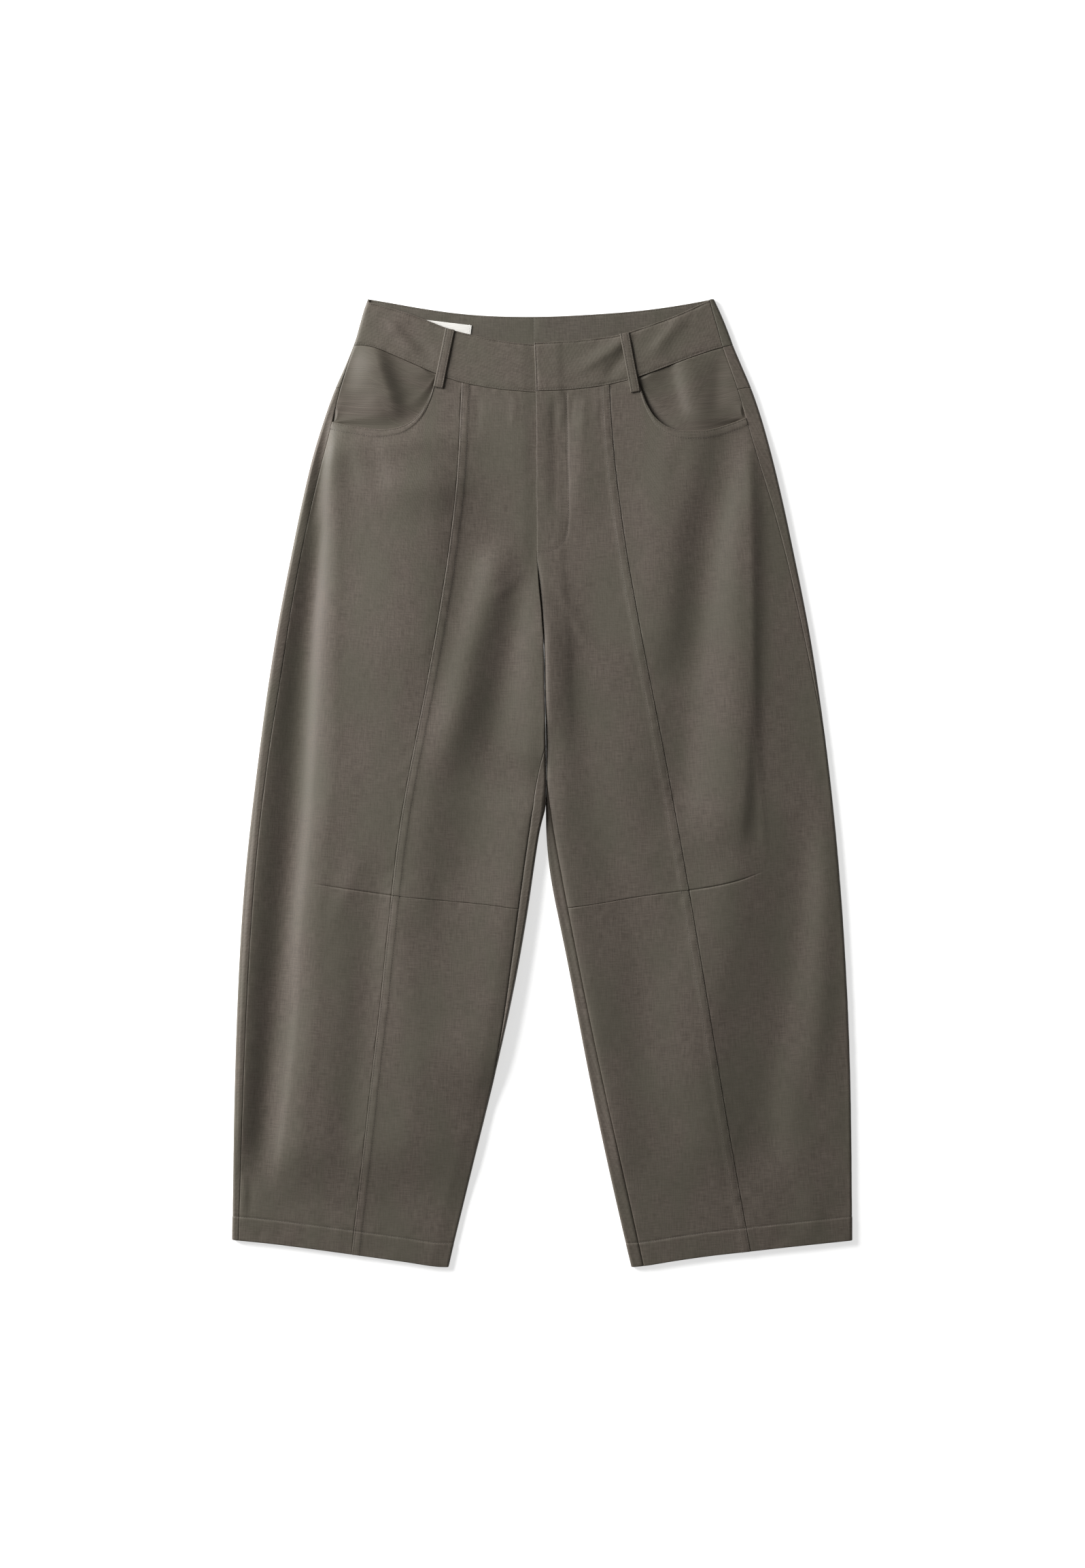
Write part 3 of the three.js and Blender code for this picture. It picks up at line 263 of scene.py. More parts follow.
# The main folds
FOLDS = [
    fold("outer edge roll, right leg", 6.6, 8, 22, [
        (-240, 396), (-250, 340), (-262, 282), (-274, 226), (-285, 166), (-293, 110), (-302, 44),
        (-311, -50), (-320, -160), (-326, -260), (-329, -360), (-330, -440)]),
    fold("side hollow, right leg", -3, 16, 15, [
        (-230, 420), (-236, 360), (-242, 300), (-248, 240), (-256, 160), (-263, 70), (-268, -10),
        (-274, -80), (-283, -170), (-292, -260), (-303, -360), (-311, -450)]),
    fold("side seam hollow, right leg", -2.2, 7, 7, [
        (-229, 410), (-238, 360), (-246, 310), (-254, 264)]),
    fold("side ridge, right leg", 7.2, 26, 110, [
        (-224, 420), (-221, 320), (-219, 220), (-222, 120), (-222, 30), (-231, -60), (-239, -160),
        (-242, -260), (-254, -360), (-264, -460)]),
    fold("side crease, right leg", 1.7, 6, 16, [
        (-224, 410), (-228, 350), (-234, 250), (-241, 150), (-246, 44), (-253, -60), (-262, -160),
        (-266, -260), (-277, -360), (-289, -450)]),
    fold("thigh swell, right leg", 5.4, 60, 34, [
        (-124, 362), (-122, 310), (-122, 250), (-130, 160), (-142, 70)]),
    fold("knee swell, right leg", 2.4, 46, 46, [
        (-152, 140), (-145, 60), (-146, -20), (-158, -100), (-174, -170)]),
    fold("crotch drag fold, right leg", 6, 23, 24, [
        (-38, 274), (-48, 240), (-59, 200), (-74, 150), (-86, 100), (-98, 52), (-112, -6)]),
    fold("end of the crotch drag fold, right leg", 2.6, 26, 34, [
        (-98, 76), (-110, 20), (-121, -40), (-129, -100), (-134, -170)]),
    fold("crotch hollow, right leg", -1.2, 14, 18, [
        (-20, 250), (-29, 200), (-34, 150), (-44, 100), (-55, 44), (-64, 0)]),
    fold("inner swell, right leg", 4.4, 30, 4, [(1, 262), (3, 200), (3, 120), (3, 44), (2, -10)]),
    fold("inner calf swell, right leg", 6.6, 56, 4, [
        (2, 20), (-4, -60), (-21, -160), (-40, -260), (-61, -360)]),
    fold("shin hollow, right leg", -2.2, 22, 20, [
        (-166, -60), (-184, -160), (-194, -260), (-207, -360), (-216, -450)]),
    fold("shin ridge, right leg", 3.9, 36, 96, [
        (-150, -90), (-142, -180), (-130, -270), (-137, -360), (-150, -450)]),
    fold("press ridge, left leg", 1.6, 24, 20, [
        (209, 350), (206, 250), (204, 150), (200, 50), (192, -20), (182, -90)]),
    fold("outer crease, left leg", 3.1, 24, 11, [
        (218, 400), (225, 330), (227, 250), (226, 150), (223, 50), (218, -20), (210, -90)]),
    fold("side swell, left leg", 1.6, 40, 40, [(214, 390), (222, 300), (222, 150), (222, 30), (214, -90)]),
    fold("side hollow, left leg", -2.8, 28, 22, [
        (218, 430), (208, 350), (191, 290), (181, 250), (171, 200), (164, 140), (157, 70), (150, -10),
        (148, -80)]),
    fold("thigh ridge, left leg", 3.4, 40, 28, [
        (176, 430), (160, 350), (141, 260), (136, 180), (136, 110)]),
    fold("shin ridge, left leg", 3.2, 38, 32, [
        (210, -40), (198, -150), (176, -260), (176, -350), (190, -450)]),
    fold("shin hollow, left leg", -2.7, 32, 22, [
        (284, -20), (279, -140), (258, -260), (247, -350), (252, -450)]),
    fold("outer swell, left leg", 1.4, 16, 14, [(304, -10), (307, -130), (302, -250), (292, -350)]),
    fold("fly hollow", -1.4, 9, 14, [(15, 436), (16, 390), (16, 330), (16, 262)]),
    fold("fly ridge", 1, 11, 24, [(48, 436), (45, 390), (42, 330), (36, 270)]),
    fold("crotch fold, left leg", 2.5, 5, 24, [(0, 262), (2, 205), (5, 150), (6.5, 90), (8, 40)]),
    fold("inner roll, left leg", 1.9, 6, 26, [
        (8, 205), (9, 130), (10, 50), (13, -20), (24, -90), (38, -170), (56, -260), (76, -360),
        (90, -450)]),
    fold("inner thigh hollow, left leg", -1.2, 20, 28, [
        (38, 200), (44, 100), (52, 20), (68, -70), (100, -160), (110, -260), (116, -350)]),
]
BAND_FOLDS = [
    fold("diagonal fold below the left loop", 1.6, 8, 6, [(98, 494), (84, 478), (62, 462), (30, 444)]),
    fold("diagonal hollow beside the left loop", -1.2, 6, 8, [(100, 484), (90, 468), (76, 450), (66, 438)]),
    fold("diagonal fold outside the left loop", 1.4, 7, 8, [(160, 512), (138, 490), (114, 458)]),
    fold("diagonal hollow, right band", -1, 7, 7, [(-160, 500), (-134, 478), (-112, 458)]),
    fold("diagonal fold, right band", 1, 8, 9, [(-176, 508), (-152, 486), (-132, 464)]),
]
FACING_FOLDS = [
    fold("broad fold, right pocket", 6.4, 28, 13, [
        (-188, 500), (-181, 462), (-171, 430), (-160, 396), (-152, 360)]),
    fold("side hollow, right pocket", -1.2, 10, 12, [(-206, 484), (-210, 450), (-216, 410)]),
    fold("mouth hollow, left pocket", -2.4, 22, 10, [(134, 480), (141, 440), (150, 406), (156, 370)]),
    fold("ripple, left pocket", 1.8, 18, 16, [(154, 490), (162, 440), (168, 406), (174, 360)]),
    fold("side hollow, left pocket", -1, 9, 12, [(196, 474), (192, 436), (190, 396)]),
]

# Small wrinkles that lie on the face of the cloth
WRINKLES = [
    fold("pressed crease, left leg", 0.45, 4, 3, [
        (226, 380), (227, 297), (229, 216), (231, 127), (235, 38), (240, -40), (243, -92)]),
    fold("first gather under the band", -0.25, 3, 4, [(13, 424), (12, 400), (12, 368)]),
    fold("second gather under the band", 0.3, 3, 4, [(24, 426), (21, 404), (20, 378)]),
    fold("third gather under the band", -0.3, 4, 3, [(36, 427), (33, 408), (30, 384)]),
    fold("fourth gather under the band", 0.3, 4, 5, [(47, 428), (45, 406), (43, 370)]),
    fold("gather by the left panel seam", 0.3, 5, 4, [(63, 430), (60, 412), (58, 384)]),
    fold("gather left of the centre", 0.35, 4, 5, [(-30, 426), (-31, 408), (-33, 380)]),
    fold("gather by the right panel seam", -0.35, 5, 5, [(-70, 430), (-70, 408), (-72, 372)]),
    fold("hem dimple, right leg", -0.5, 5, 6, [(-318, -424), (-317.5, -446), (-318.5, -470)]),
    fold("hem bulge, right leg", 0.6, 4, 4, [(-325, -420), (-324, -450), (-325, -488)]),
    fold("hem crease, right leg", -0.5, 3, 4, [(-305, -486), (-309, -497)]),
    fold("knee drag, right leg", 0.6, 9, 12, [(-196, -70), (-206, -100), (-222, -140), (-240, -190)]),
    fold("knee hollow, right leg", -0.6, 8, 12, [(-120, -96), (-112, -122), (-106, -160)]),
    fold("crotch pull, left leg", 0.6, 6, 9, [(8, 236), (22, 206), (40, 168), (64, 128)]),
    fold("crotch pull, right leg", 0.5, 6, 5, [(-16, 238), (-36, 214), (-62, 196)]),
    fold("hip pull below the right pocket", 0.8, 9, 12, [(-204, 384), (-198, 350), (-188, 306)]),
    fold("second pull below the right pocket", 0.6, 10, 16, [(-172, 384), (-166, 350), (-156, 300)]),
    fold("hip swell below the right pocket", 3, 48, 60, [(-142, 400), (-140, 350), (-134, 280)]),
    fold("hip pull below the left pocket", -0.5, 9, 12, [(150, 374), (148, 350), (140, 318)]),
    fold("hem wave, left leg", 0.5, 12, 14, [(286, -430), (292, -470), (298, -500)]),
]


# Small helpers

def in_mm(length):
    """A length in metres, as a user sets it, in millimetres."""
    return length / MM


def mix(a, b, t):
    return a + (b - a) * t


def smooth(start, end, x):
    t = np.clip((x - start) / (end - start), 0, 1)
    return t * t * (3 - 2 * t)


def through(table, at, value):
    """A smooth line through a table: the slope at each row is the mean of its neighbours' slopes."""
    order = np.argsort(table[at])
    places, values = table[at][order], table[value][order]
    chords = np.diff(values) / np.diff(places)
    slopes = np.concatenate([chords[:1], (chords[:-1] + chords[1:]) / 2, chords[-1:]])

    def line(x):
        i = np.clip(np.searchsorted(places, x, side="right") - 1, 0, len(places) - 2)
        span = places[i + 1] - places[i]
        t = np.clip((x - places[i]) / span, 0, 1)
        rise = values[i + 1] - values[i]
        bend = t * (1 - t) * ((slopes[i] * span - rise) * (1 - t) + (rise - slopes[i + 1] * span) * t)
        return values[i] + rise * t + bend

    return line


def smooth_path(points, count):
    """A centripetal curve through points, as count + 1 points at even steps of its parameter."""
    p = np.array(points, float)
    p = np.vstack([2 * p[0] - p[1], p, 2 * p[-1] - p[-2]])
    out = []
    for share in np.linspace(0, len(points) - 1, count + 1):
        i = min(int(share), len(points) - 2)
        t = share - i
        a, b, c, d = p[i:i + 4]
        ab, bc, cd = (max(np.hypot(*(q - r)) ** 0.5, 1e-6) for q, r in ((b, a), (c, b), (d, c)))
        start = ((b - a) / ab - (c - a) / (ab + bc) + (c - b) / bc) * bc
        end = ((c - b) / bc - (d - b) / (bc + cd) + (d - c) / cd) * bc
        squared, cubed = 3 * (c - b) - 2 * start - end, 2 * (b - c) + start + end
        out.append(b + start * t + squared * t ** 2 + cubed * t ** 3)
    return np.array(out)


PATH_POINTS = 400
PATH_STEP = 0.004


def even_path(points):
    """A curve through points: the place and the direction at a share of its length."""
    line = smooth_path(points, PATH_POINTS)
    run = np.concatenate([[0], np.cumsum(np.hypot(*np.diff(line, axis=0).T))])
    share = run / run[-1]

    def at(t):
        return np.stack([np.interp(t, share, line[:, k]) for k in (0, 1)], -1)

    def direction(t):
        way = at(np.clip(t + PATH_STEP, 0, 1)) - at(np.clip(t - PATH_STEP, 0, 1))
        return way / np.linalg.norm(way, axis=-1, keepdims=True)

    return SimpleNamespace(at=at, direction=direction)


def nearest(line, x, y):
    """Distance to a line of points, the share of it passed there, and how far east of it a point lies."""
    best, along, side = np.full(x.shape, np.inf), np.zeros(x.shape), np.zeros(x.shape)
    for i in range(len(line) - 1):
        a, run = line[i], line[i + 1] - line[i]
        t = np.clip(((x - a[0]) * run[0] + (y - a[1]) * run[1]) / (run @ run), 0, 1)
        dx, dy = x - a[0] - t * run[0], y - a[1] - t * run[1]
        distance = np.hypot(dx, dy)
        closer = distance < best
        best[closer] = distance[closer]
        along[closer] = (i + t[closer]) / (len(line) - 1)
        side[closer] = dx[closer]
    return best, along, side


FOLD_STEPS = 60
FOLD_END_LENGTH = 70
FOLD_END_SHARE = 0.35
FOLD_SPAN = 3


def fold_height(folds, x, y):
    """The height that these folds give at each place. A fold fades to nothing at both its ends."""
    total = np.zeros(x.shape)
    for f in folds:
        line = smooth_path(f.path, FOLD_STEPS)
        margin = FOLD_SPAN * max(f.west, f.east)
        low, high = line.min(0) - margin, line.max(0) + margin
        here = (x > low[0]) & (x < high[0]) & (y > low[1]) & (y < high[1])
        distance, along, side = nearest(line, x[here], y[here])
        reach = np.where(side < 0, f.west, f.east)
        length = np.hypot(*np.diff(line, axis=0).T).sum()
        fade = min(FOLD_END_SHARE, FOLD_END_LENGTH / length)
        ends = smooth(0, fade, along) * smooth(1, 1 - fade, along)
        total[here] += f.height * ends * np.exp(-((distance / reach) ** 2))
    return total


LATTICE = 64


def soft_noise(x, y, size, seed):
    """Smooth uneven height from -1 to 1, with bumps about size across."""
    lattice = np.random.default_rng(seed).uniform(-1, 1, (LATTICE, LATTICE))
    u, v = x / size + LATTICE, y / size + LATTICE
    i, j = np.floor(u).astype(int), np.floor(v).astype(int)
    s, t = (w * w * (3 - 2 * w) for w in (u - i, v - j))
    corner = lattice[i % LATTICE, j % LATTICE], lattice[(i + 1) % LATTICE, j % LATTICE]
    above = lattice[i % LATTICE, (j + 1) % LATTICE], lattice[(i + 1) % LATTICE, (j + 1) % LATTICE]
    return mix(mix(*corner, s), mix(*above, s), t)


# The rolled edge of a folded layer. Arc length runs from the outermost point, up and over the top.

def inset_at(radius, arc):
    turned = radius * (1 - np.cos(np.clip(arc / radius, -QUARTER, QUARTER)))
    return np.where(np.abs(arc) < radius * QUARTER, turned, radius + np.abs(arc) - radius * QUARTER)


def arc_at(radius, inset):
    turned = radius * np.arccos(1 - np.clip(inset / radius, 0, 1))
    return np.where(inset < radius, turned, radius * QUARTER + inset - radius)


def rolled_height(radius, inset):
    back = radius - np.clip(inset, 0, radius)
    return radius + np.sqrt(radius * radius - back * back)


CENTRE = through(CENTRE_LINE, "y", "x")


def below_crotch(y):
    return smooth(CROTCH_Y + CROTCH_TURN, CROTCH_Y - CROTCH_TURN, y)


def below_leg_gap(y):
    return smooth(LEG_GAP_TOP_Y + LEG_GAP_TURN, LEG_GAP_TOP_Y - LEG_GAP_TURN, y)


def make_side(name, towards, side, inner, inseam_start, knee, hem, band_seam, front_top, pocket,
              dart_end, loop):
    """What one side of the garment needs. towards is +1 where the centre lies at greater X."""
    inner_line = through(inner, "y", "inner")
    side_arcs = {"y": side["y"], "arc": arc_at(OUTER_ROLL, np.abs(side["side_seam"] - side["outer"]))}
    insets = np.concatenate([inseam_start["inset"], np.abs(inner["inseam"] - inner["inner"])[1:]])
    inseam_y = np.concatenate([inseam_start["y"], inner["y"][1:]])
    inseam_arcs = {"y": inseam_y, "arc": arc_at(INNER_ROLL, insets)}
    other_leg = "left leg" if name == "right" else "right leg"
    return SimpleNamespace(
        name=name, towards=towards, pocket=pocket, dart_end=dart_end, loop=loop,
        folds=[f for f in FOLDS if other_leg not in f.name],
        outer=through(side, "y", "outer"),
        inner=lambda y: np.where(y > LEG_GAP_TOP_Y, CENTRE(y) - towards * CENTRE_GAP, inner_line(y)),
        panel=through(side, "y", "panel_seam"),
        side_arc=through(side_arcs, "y", "arc"),
        inseam_arc=through(inseam_arcs, "y", "arc"),
        knee=through(knee, "x", "y"), hem=through(hem, "x", "y"),
        band_seam=through(band_seam, "x", "y"), front_top=through(front_top, "x", "y"),
    )


RIGHT = make_side(
    "right", 1, RIGHT_SIDE, RIGHT_INNER, RIGHT_INSEAM_START, KNEE_RIGHT, HEM_RIGHT,
    BAND_SEAM_RIGHT, FRONT_TOP_RIGHT, POCKET_RIGHT, -255, ((-100.2, 494), (-113.2, 430.4)),
)
LEFT = make_side(
    "left", -1, LEFT_SIDE, LEFT_INNER, LEFT_INSEAM_START, KNEE_LEFT, HEM_LEFT,
    BAND_SEAM_LEFT, FRONT_TOP_LEFT, POCKET_LEFT, 245, ((89.4, 489.6), (101.6, 425.4)),
)
SIDES = (RIGHT, LEFT)


def front_side_edge(s, gap=HALF_GAP):
    return lambda y: s.outer(y) + s.towards * inset_at(OUTER_ROLL, s.side_arc(y) + gap)


def front_inner_edge(s):
    return lambda y: s.inner(y) - s.towards * inset_at(INNER_ROLL, s.inseam_arc(y) + HALF_GAP)


def from_edges(s, x, y):
    """How far places lie inside the outer edge and the inner edge of their side."""
    return np.maximum(0, (x - s.outer(y)) * s.towards), np.maximum(0, (s.inner(y) - x) * s.towards)


def centre_lap(s, from_inner, y):
    """The left front stands up where it laps over the right one, whose edge is tucked in above the fly."""
    if s is LEFT:
        return FLY_RAISE * smooth(FLY_WIDTH, FLY_WIDTH * FLY_EDGE_SHARE, from_inner)
    return -FLY_TUCK * smooth(FLY_TUCK_WIDTH, 0, from_inner) * smooth(FLY_FOOT_Y, FLY_END_Y, y)


def upper_height(s, x, y):
    """Height of the upper cloth's face: rolled down at the edges, level between, with the folds on it."""
    from_outer, from_inner = from_edges(s, x, y)
    low = below_crotch(y) * (1 - CROTCH_FILL * smooth(*CROTCH_FILL_Y, y))
    inner_roll = rolled_height(INNER_ROLL, from_inner)
    eased_roll = inner_roll + (FRONT_LEVEL - 2 * INNER_ROLL) * smooth(INNER_ROLL, INNER_EASE, from_inner)
    level = mix(FRONT_LEVEL + centre_lap(s, from_inner, y), eased_roll, low)
    folds = fold_height(s.folds, x, y) * mix(1, inner_roll / (2 * INNER_ROLL), low)
    return rolled_height(OUTER_ROLL, from_outer) / FRONT_LEVEL * (level + folds)


def band_height(s, x, y):
    """Height of the waistband's face, a little above the cloth it is sewn to."""
    from_outer, from_inner = from_edges(s, x, y)
    rest = smooth(0, FOLD_FADE, from_outer)
    level = centre_lap(s, from_inner, y) + BAND_RAISE + fold_height(BAND_FOLDS, x, y)
    return rolled_height(OUTER_ROLL, from_outer) + rest * level


def crossing(down_line, across_line, guess):
    """The height at which a line down the garment meets a line across it."""
    y = float(guess)
    for _ in range(MEETING_ROUNDS):
        y = float(across_line(down_line(y)))
    return y


def down(line, start, end):
    return lambda v: np.stack([line(mix(start, end, v)), mix(start, end, v)], -1)


def across(line, start, end):
    return lambda u: np.stack([mix(start, end, u), line(mix(start, end, u))], -1)


def patch(top, bottom, near, far):
    """A flat pattern piece between four edges. u runs from near to far and v from top to bottom."""
    zero, one = np.zeros(()), np.ones(())
    corners = [edge(end) for edge in (top, bottom) for end in (zero, one)]

    def at(u, v):
        u, v = np.broadcast_arrays(u, v)
        uu, vv = u[..., None], v[..., None]
        straight = mix(mix(corners[0], corners[1], uu), mix(corners[2], corners[3], uu), vv)
        return mix(top(u), bottom(u), vv) + mix(near(v), far(v), uu) - straight

    return at


def pattern_between(top, bottom, near, far, top_about, bottom_about):
    """The flat pattern piece between two lines across the garment and two lines down it."""
    top_near, top_far = (crossing(line, top, y) for line, y in zip((near, far), top_about))
    bottom_near, bottom_far = (crossing(line, bottom, y) for line, y in zip((near, far), bottom_about))
    return patch(
        across(top, float(near(top_near)), float(far(top_far))),
        across(bottom, float(near(bottom_near)), float(far(bottom_far))),
        down(near, top_near, bottom_near), down(far, top_far, bottom_far))


def gap_between(a, b):
    return np.linalg.norm(a - b, axis=-1)


# Places across an edge, in millimetres from it: close together where the cloth turns down into a seam
EDGE = (0, 0.12, 0.35, 0.7, 1.2, 1.8, 2.6, 4)
SEWN_EDGE = (0, 0.12, 0.35, 0.7, 1.2, 1.8, 2.4, 3.2, 4.6, 6.2, 7.4, 8, 8.6, 9.2, 9.8, 11)
HEM_EDGE = (0, 0.2, 0.6, 1.2, 2.4, 5, 9, 14, 19, 23, 24.6, 25.4, 26, 26.6, 27.4, 29)
GAP_EDGE, GAP_SEWN_EDGE = (tuple(HALF_GAP + place for place in edge) for edge in (EDGE, SEWN_EDGE))
TURN_EDGE = np.array([0, 0.12, 0.35, 0.7, 1.2, 1.8])
BAND_TOP_EDGE = (0, 0.2, 0.5, 1, 1.8, 2.6, 4)
LOOP_EDGE = (0, 0.12, 0.35, 0.7, 1.2)
LOOP_END = (0, 0.2, 0.6, 1.2)
LABEL_EDGE = (0, 0.2, 0.6)


def stations(length, step, first, last):
    """Places along a length: close ones at its two ends and even ones between."""
    count = max(2, round((length - first[-1] - last[-1]) / step))
    middle = np.linspace(first[-1], length - last[-1], count + 1)
    return np.concatenate([first[:-1], middle, length - np.array(last[::-1])[1:]])


def grid_of(pattern, top, bottom, near, far, row_step, count):
    """Grid of places on a pattern, with close rows and columns along its four edges, and count between."""
    length = gap_between(pattern(0.5, 0.0), pattern(0.5, 1.0))
    v = stations(length, row_step, top, bottom) / length
    width = gap_between(pattern(0.0, v), pattern(1.0, v))
    first, last = np.array(near) / width[:, None], 1 - np.array(far[::-1]) / width[:, None]
    between = np.linspace(0, 1, count + 1)[1:-1]
    middle = mix(first[:, -1:], last[:, :1], between)
    u = np.concatenate([first, middle, last], 1)
    return pattern(u, v[:, None])


def runs(skin):
    """How far each point of a grid is from its four edges, measured along the cloth."""
    across_steps = np.linalg.norm(np.diff(skin, axis=1), axis=-1)
    down_steps = np.linalg.norm(np.diff(skin, axis=0), axis=-1)
    near = np.pad(np.cumsum(across_steps, 1), ((0, 0), (1, 0)))
    top = np.pad(np.cumsum(down_steps, 0), ((1, 0), (0, 0)))
    return SimpleNamespace(near=near, far=near[:, -1:] - near, top=top, bottom=top[-1:] - top)


# Relief of the cloth's face: how deep and how far it turns down at an edge, and where the stitches lie
EDGE_FALL = 0.6
EDGE_ROUND = 1.1
INSEAM_FALL = 0.8
INSEAM_ROUND = 3.2
LEFT_INSEAM_FALL = 0.3
CENTRE_FALL = 0.5
FLY_EASE = 0.7
CROTCH_FALL = 1.2
CROTCH_ROUND = 2.2
BACK_INSEAM_FALL = 1.2
LEFT_BACK_INSEAM_FALL = 2.4
BACK_INSEAM_ROUND = 3.8
EDGE_ROW = 1.8
TOP_ROW = 8.6
LOOP_ROW = 2.0
LABEL_ROW = 2.2
ROW_REACH = 0.75
ROW_UNEVENNESS = 0.35
ROW_BUMP = 9
PUCKER_BUMP = 7
PUCKER_REACH = 10
PUCKER_START = 1.5
WIDE_BUMP = 62
MIDDLE_BUMP = 27
MIDDLE_SHARE = 0.42
SMALL_BUMP = 11
SMALL_SHARE = 0.13


def fall(distance, depth=EDGE_FALL, reach=EDGE_ROUND):
    """The face turns down into a seam or round a folded edge."""
    t = 1 - np.clip(distance / reach, 0, 1)
    return -depth * (1 - np.sqrt(1 - t * t))


def row_trough(distance, along, row, depth):
    """A row of stitches draws the cloth in, a little unevenly."""
    uneven = 1 + ROW_UNEVENNESS * soft_noise(along, distance * 0, ROW_BUMP, 5)
    return -depth * uneven * np.exp(-(((distance - row) / ROW_REACH) ** 2))


def pucker(distance, along, height, seed):
    """Short shallow ripples that run out from a seam."""
    waves = soft_noise(along + distance * 0.5, distance * 0.6, PUCKER_BUMP, seed)
    return height * waves * np.exp(-((distance / PUCKER_REACH) ** 2)) * smooth(0, PUCKER_START, distance)


def unevenness(x, y, height):
    """Cloth that lies flat is never quite level."""
    wide = soft_noise(x + 0.2 * y, y * 0.55, WIDE_BUMP, 11)
    middle = soft_noise(x - 0.3 * y, y * 0.6, MIDDLE_BUMP, 12)
    small = soft_noise(x, y, SMALL_BUMP, 13)
    return height * (wide + MIDDLE_SHARE * middle + SMALL_SHARE * small)


def cloth_relief(s, x, y, sizes):
    """What the folds leave out: small wrinkles and unevenness, level at the rolled edges."""
    from_outer, from_inner = from_edges(s, x, y)
    rest = smooth(0, FOLD_FADE, from_outer) * mix(1, smooth(0, FOLD_FADE, from_inner), below_crotch(y))
    return rest * (fold_height(WRINKLES, x, y) + unevenness(x, y, in_mm(sizes.unevenness)))


# Making meshes

SHARP_ANGLE = math.radians(50)


def grid_normals(skin, up):
    """Directions straight out of a grid's face, which is above it where up is true."""
    right, below = np.gradient(skin, axis=1), np.gradient(skin, axis=0)
    out = np.cross(right, below)
    if (out[..., 2].sum() > 0) != up:
        out = -out
    return out / np.linalg.norm(out, axis=-1, keepdims=True)


def shell(name, skin, lengths, thickness, raise_out, raise_in, up, material, grain):
    """A closed wall of cloth: the face with its relief, the inner skin, and the strip round its edges.
    Its UV map lays the cloth out flat in metres, with the warp along V after turning by grain."""
    rows, cols = skin.shape[:2]
    out = grid_normals(skin, up)
    face = skin + out * np.broadcast_to(raise_out, (rows, cols))[..., None]
    inner = skin - out * (thickness + np.broadcast_to(raise_in, (rows, cols)))[..., None]
    points = np.concatenate([face.reshape(-1, 3), inner.reshape(-1, 3)]) * MM
    index = np.arange(rows * cols).reshape(rows, cols)
    quads = np.stack([index[:-1, :-1], index[1:, :-1], index[1:, 1:], index[:-1, 1:]], -1).reshape(-1, 4)
    ring = np.concatenate([index[0, :-1], index[:-1, -1], index[-1, :0:-1], index[:0:-1, 0]])
    following = np.roll(ring, -1)
    behind = rows * cols
    sides = np.stack([ring, following, following + behind, ring + behind], -1)
    corner = face[0, 0], face[1, 0], face[0, 1]
    outward = np.dot(np.cross(corner[1] - corner[0], corner[2] - corner[0]), out[0, 0]) > 0
    faces = np.concatenate([quads, quads[:, ::-1] + behind, sides])
    if not outward:
        faces = faces[:, ::-1]

    middle = slice(cols // 2, cols // 2 + 1)
    eastwards = np.sign(skin[0, -1, 0] - skin[0, 0, 0] + 1e-9)
    flat_x = skin[:, middle, 0] + eastwards * (lengths.near - lengths.near[:, middle])
    turn = np.array([[math.cos(grain), -math.sin(grain)], [math.sin(grain), math.cos(grain)]])
    flat = np.stack([flat_x, skin[..., 1]], -1).reshape(-1, 2) @ turn.T * MM
    uv = np.concatenate([flat, flat])

    mesh = bpy.data.meshes.new(name)
    mesh.vertices.add(len(points))
    mesh.vertices.foreach_set("co", points.ravel())
    mesh.loops.add(faces.size)
    mesh.loops.foreach_set("vertex_index", faces.ravel())
    mesh.polygons.add(len(faces))
    mesh.polygons.foreach_set("loop_start", np.arange(0, faces.size, 4))
    mesh.update(calc_edges=True)
    layer = mesh.uv_layers.new(name="cloth")
    layer.data.foreach_set("uv", uv[faces.ravel()].ravel())
    mesh.polygons.foreach_set("use_smooth", np.ones(len(faces), bool))
    mesh.set_sharp_from_angle(angle=SHARP_ANGLE)
    mesh.materials.append(material)
    piece = bpy.data.objects.new(name, mesh)
    bpy.context.scene.collection.objects.link(piece)
    return SimpleNamespace(piece=piece, face=face, inner=inner)


def dress(piece, node, lengths, skin):
    """Puts a piece in the place of its plain solid, which it hides. It works out the size its cloth is cut
    to, but does not state it.
    """
    a, b = skin[1:, 1:] - skin[:-1, :-1], skin[1:, :-1] - skin[:-1, 1:]
    area = np.linalg.norm(np.cross(a, b), axis=-1).sum() / 2
    flat = tuple(round(run.max() * MM, 4) for run in (lengths.near[:, -1], lengths.top[-1]))
    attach(piece, "root")
    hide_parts(node)
    area = min(area * MM * MM, flat[0] * flat[1])


def cloth_piece(name, node, skin, span, thickness, relief, degrees, up=True, inside=0,
                finish="wool_blend_suiting"):
    """A finished piece: its wall of cloth, with the grain turned by degrees, in the place of its node."""
    made = shell(
        name, skin, span, thickness, relief, inside, up, finish_named(finish), math.radians(degrees))
    dress(made.piece, node, span, skin)
    return made


# Lines that a sewing machine followed, kept for the stitching: points on the cloth, in millimetres
SEWN_LINES = []
LABEL_LINES = []


def keep_lines(*lines):
    SEWN_LINES.extend(lines)


def line_down(face, distance, at):
    """The line down a face at a set distance from its edge."""
    return np.stack([[np.interp(at, d, row[:, k]) for k in range(3)] for d, row in zip(distance, face)])


def line_across(face, distance, at):
    return line_down(face.transpose(1, 0, 2), distance.T, at)


def lines_down_strip(face, span, row):
    """The two lines down a strip, each at a set distance from its edge and short of its ends."""
    return (line_down(face[2:-2], span.near[2:-2], row),
            line_down(face[2:-2, ::-1], span.far[2:-2, ::-1], row))


DROP_HEIGHT = 0.1


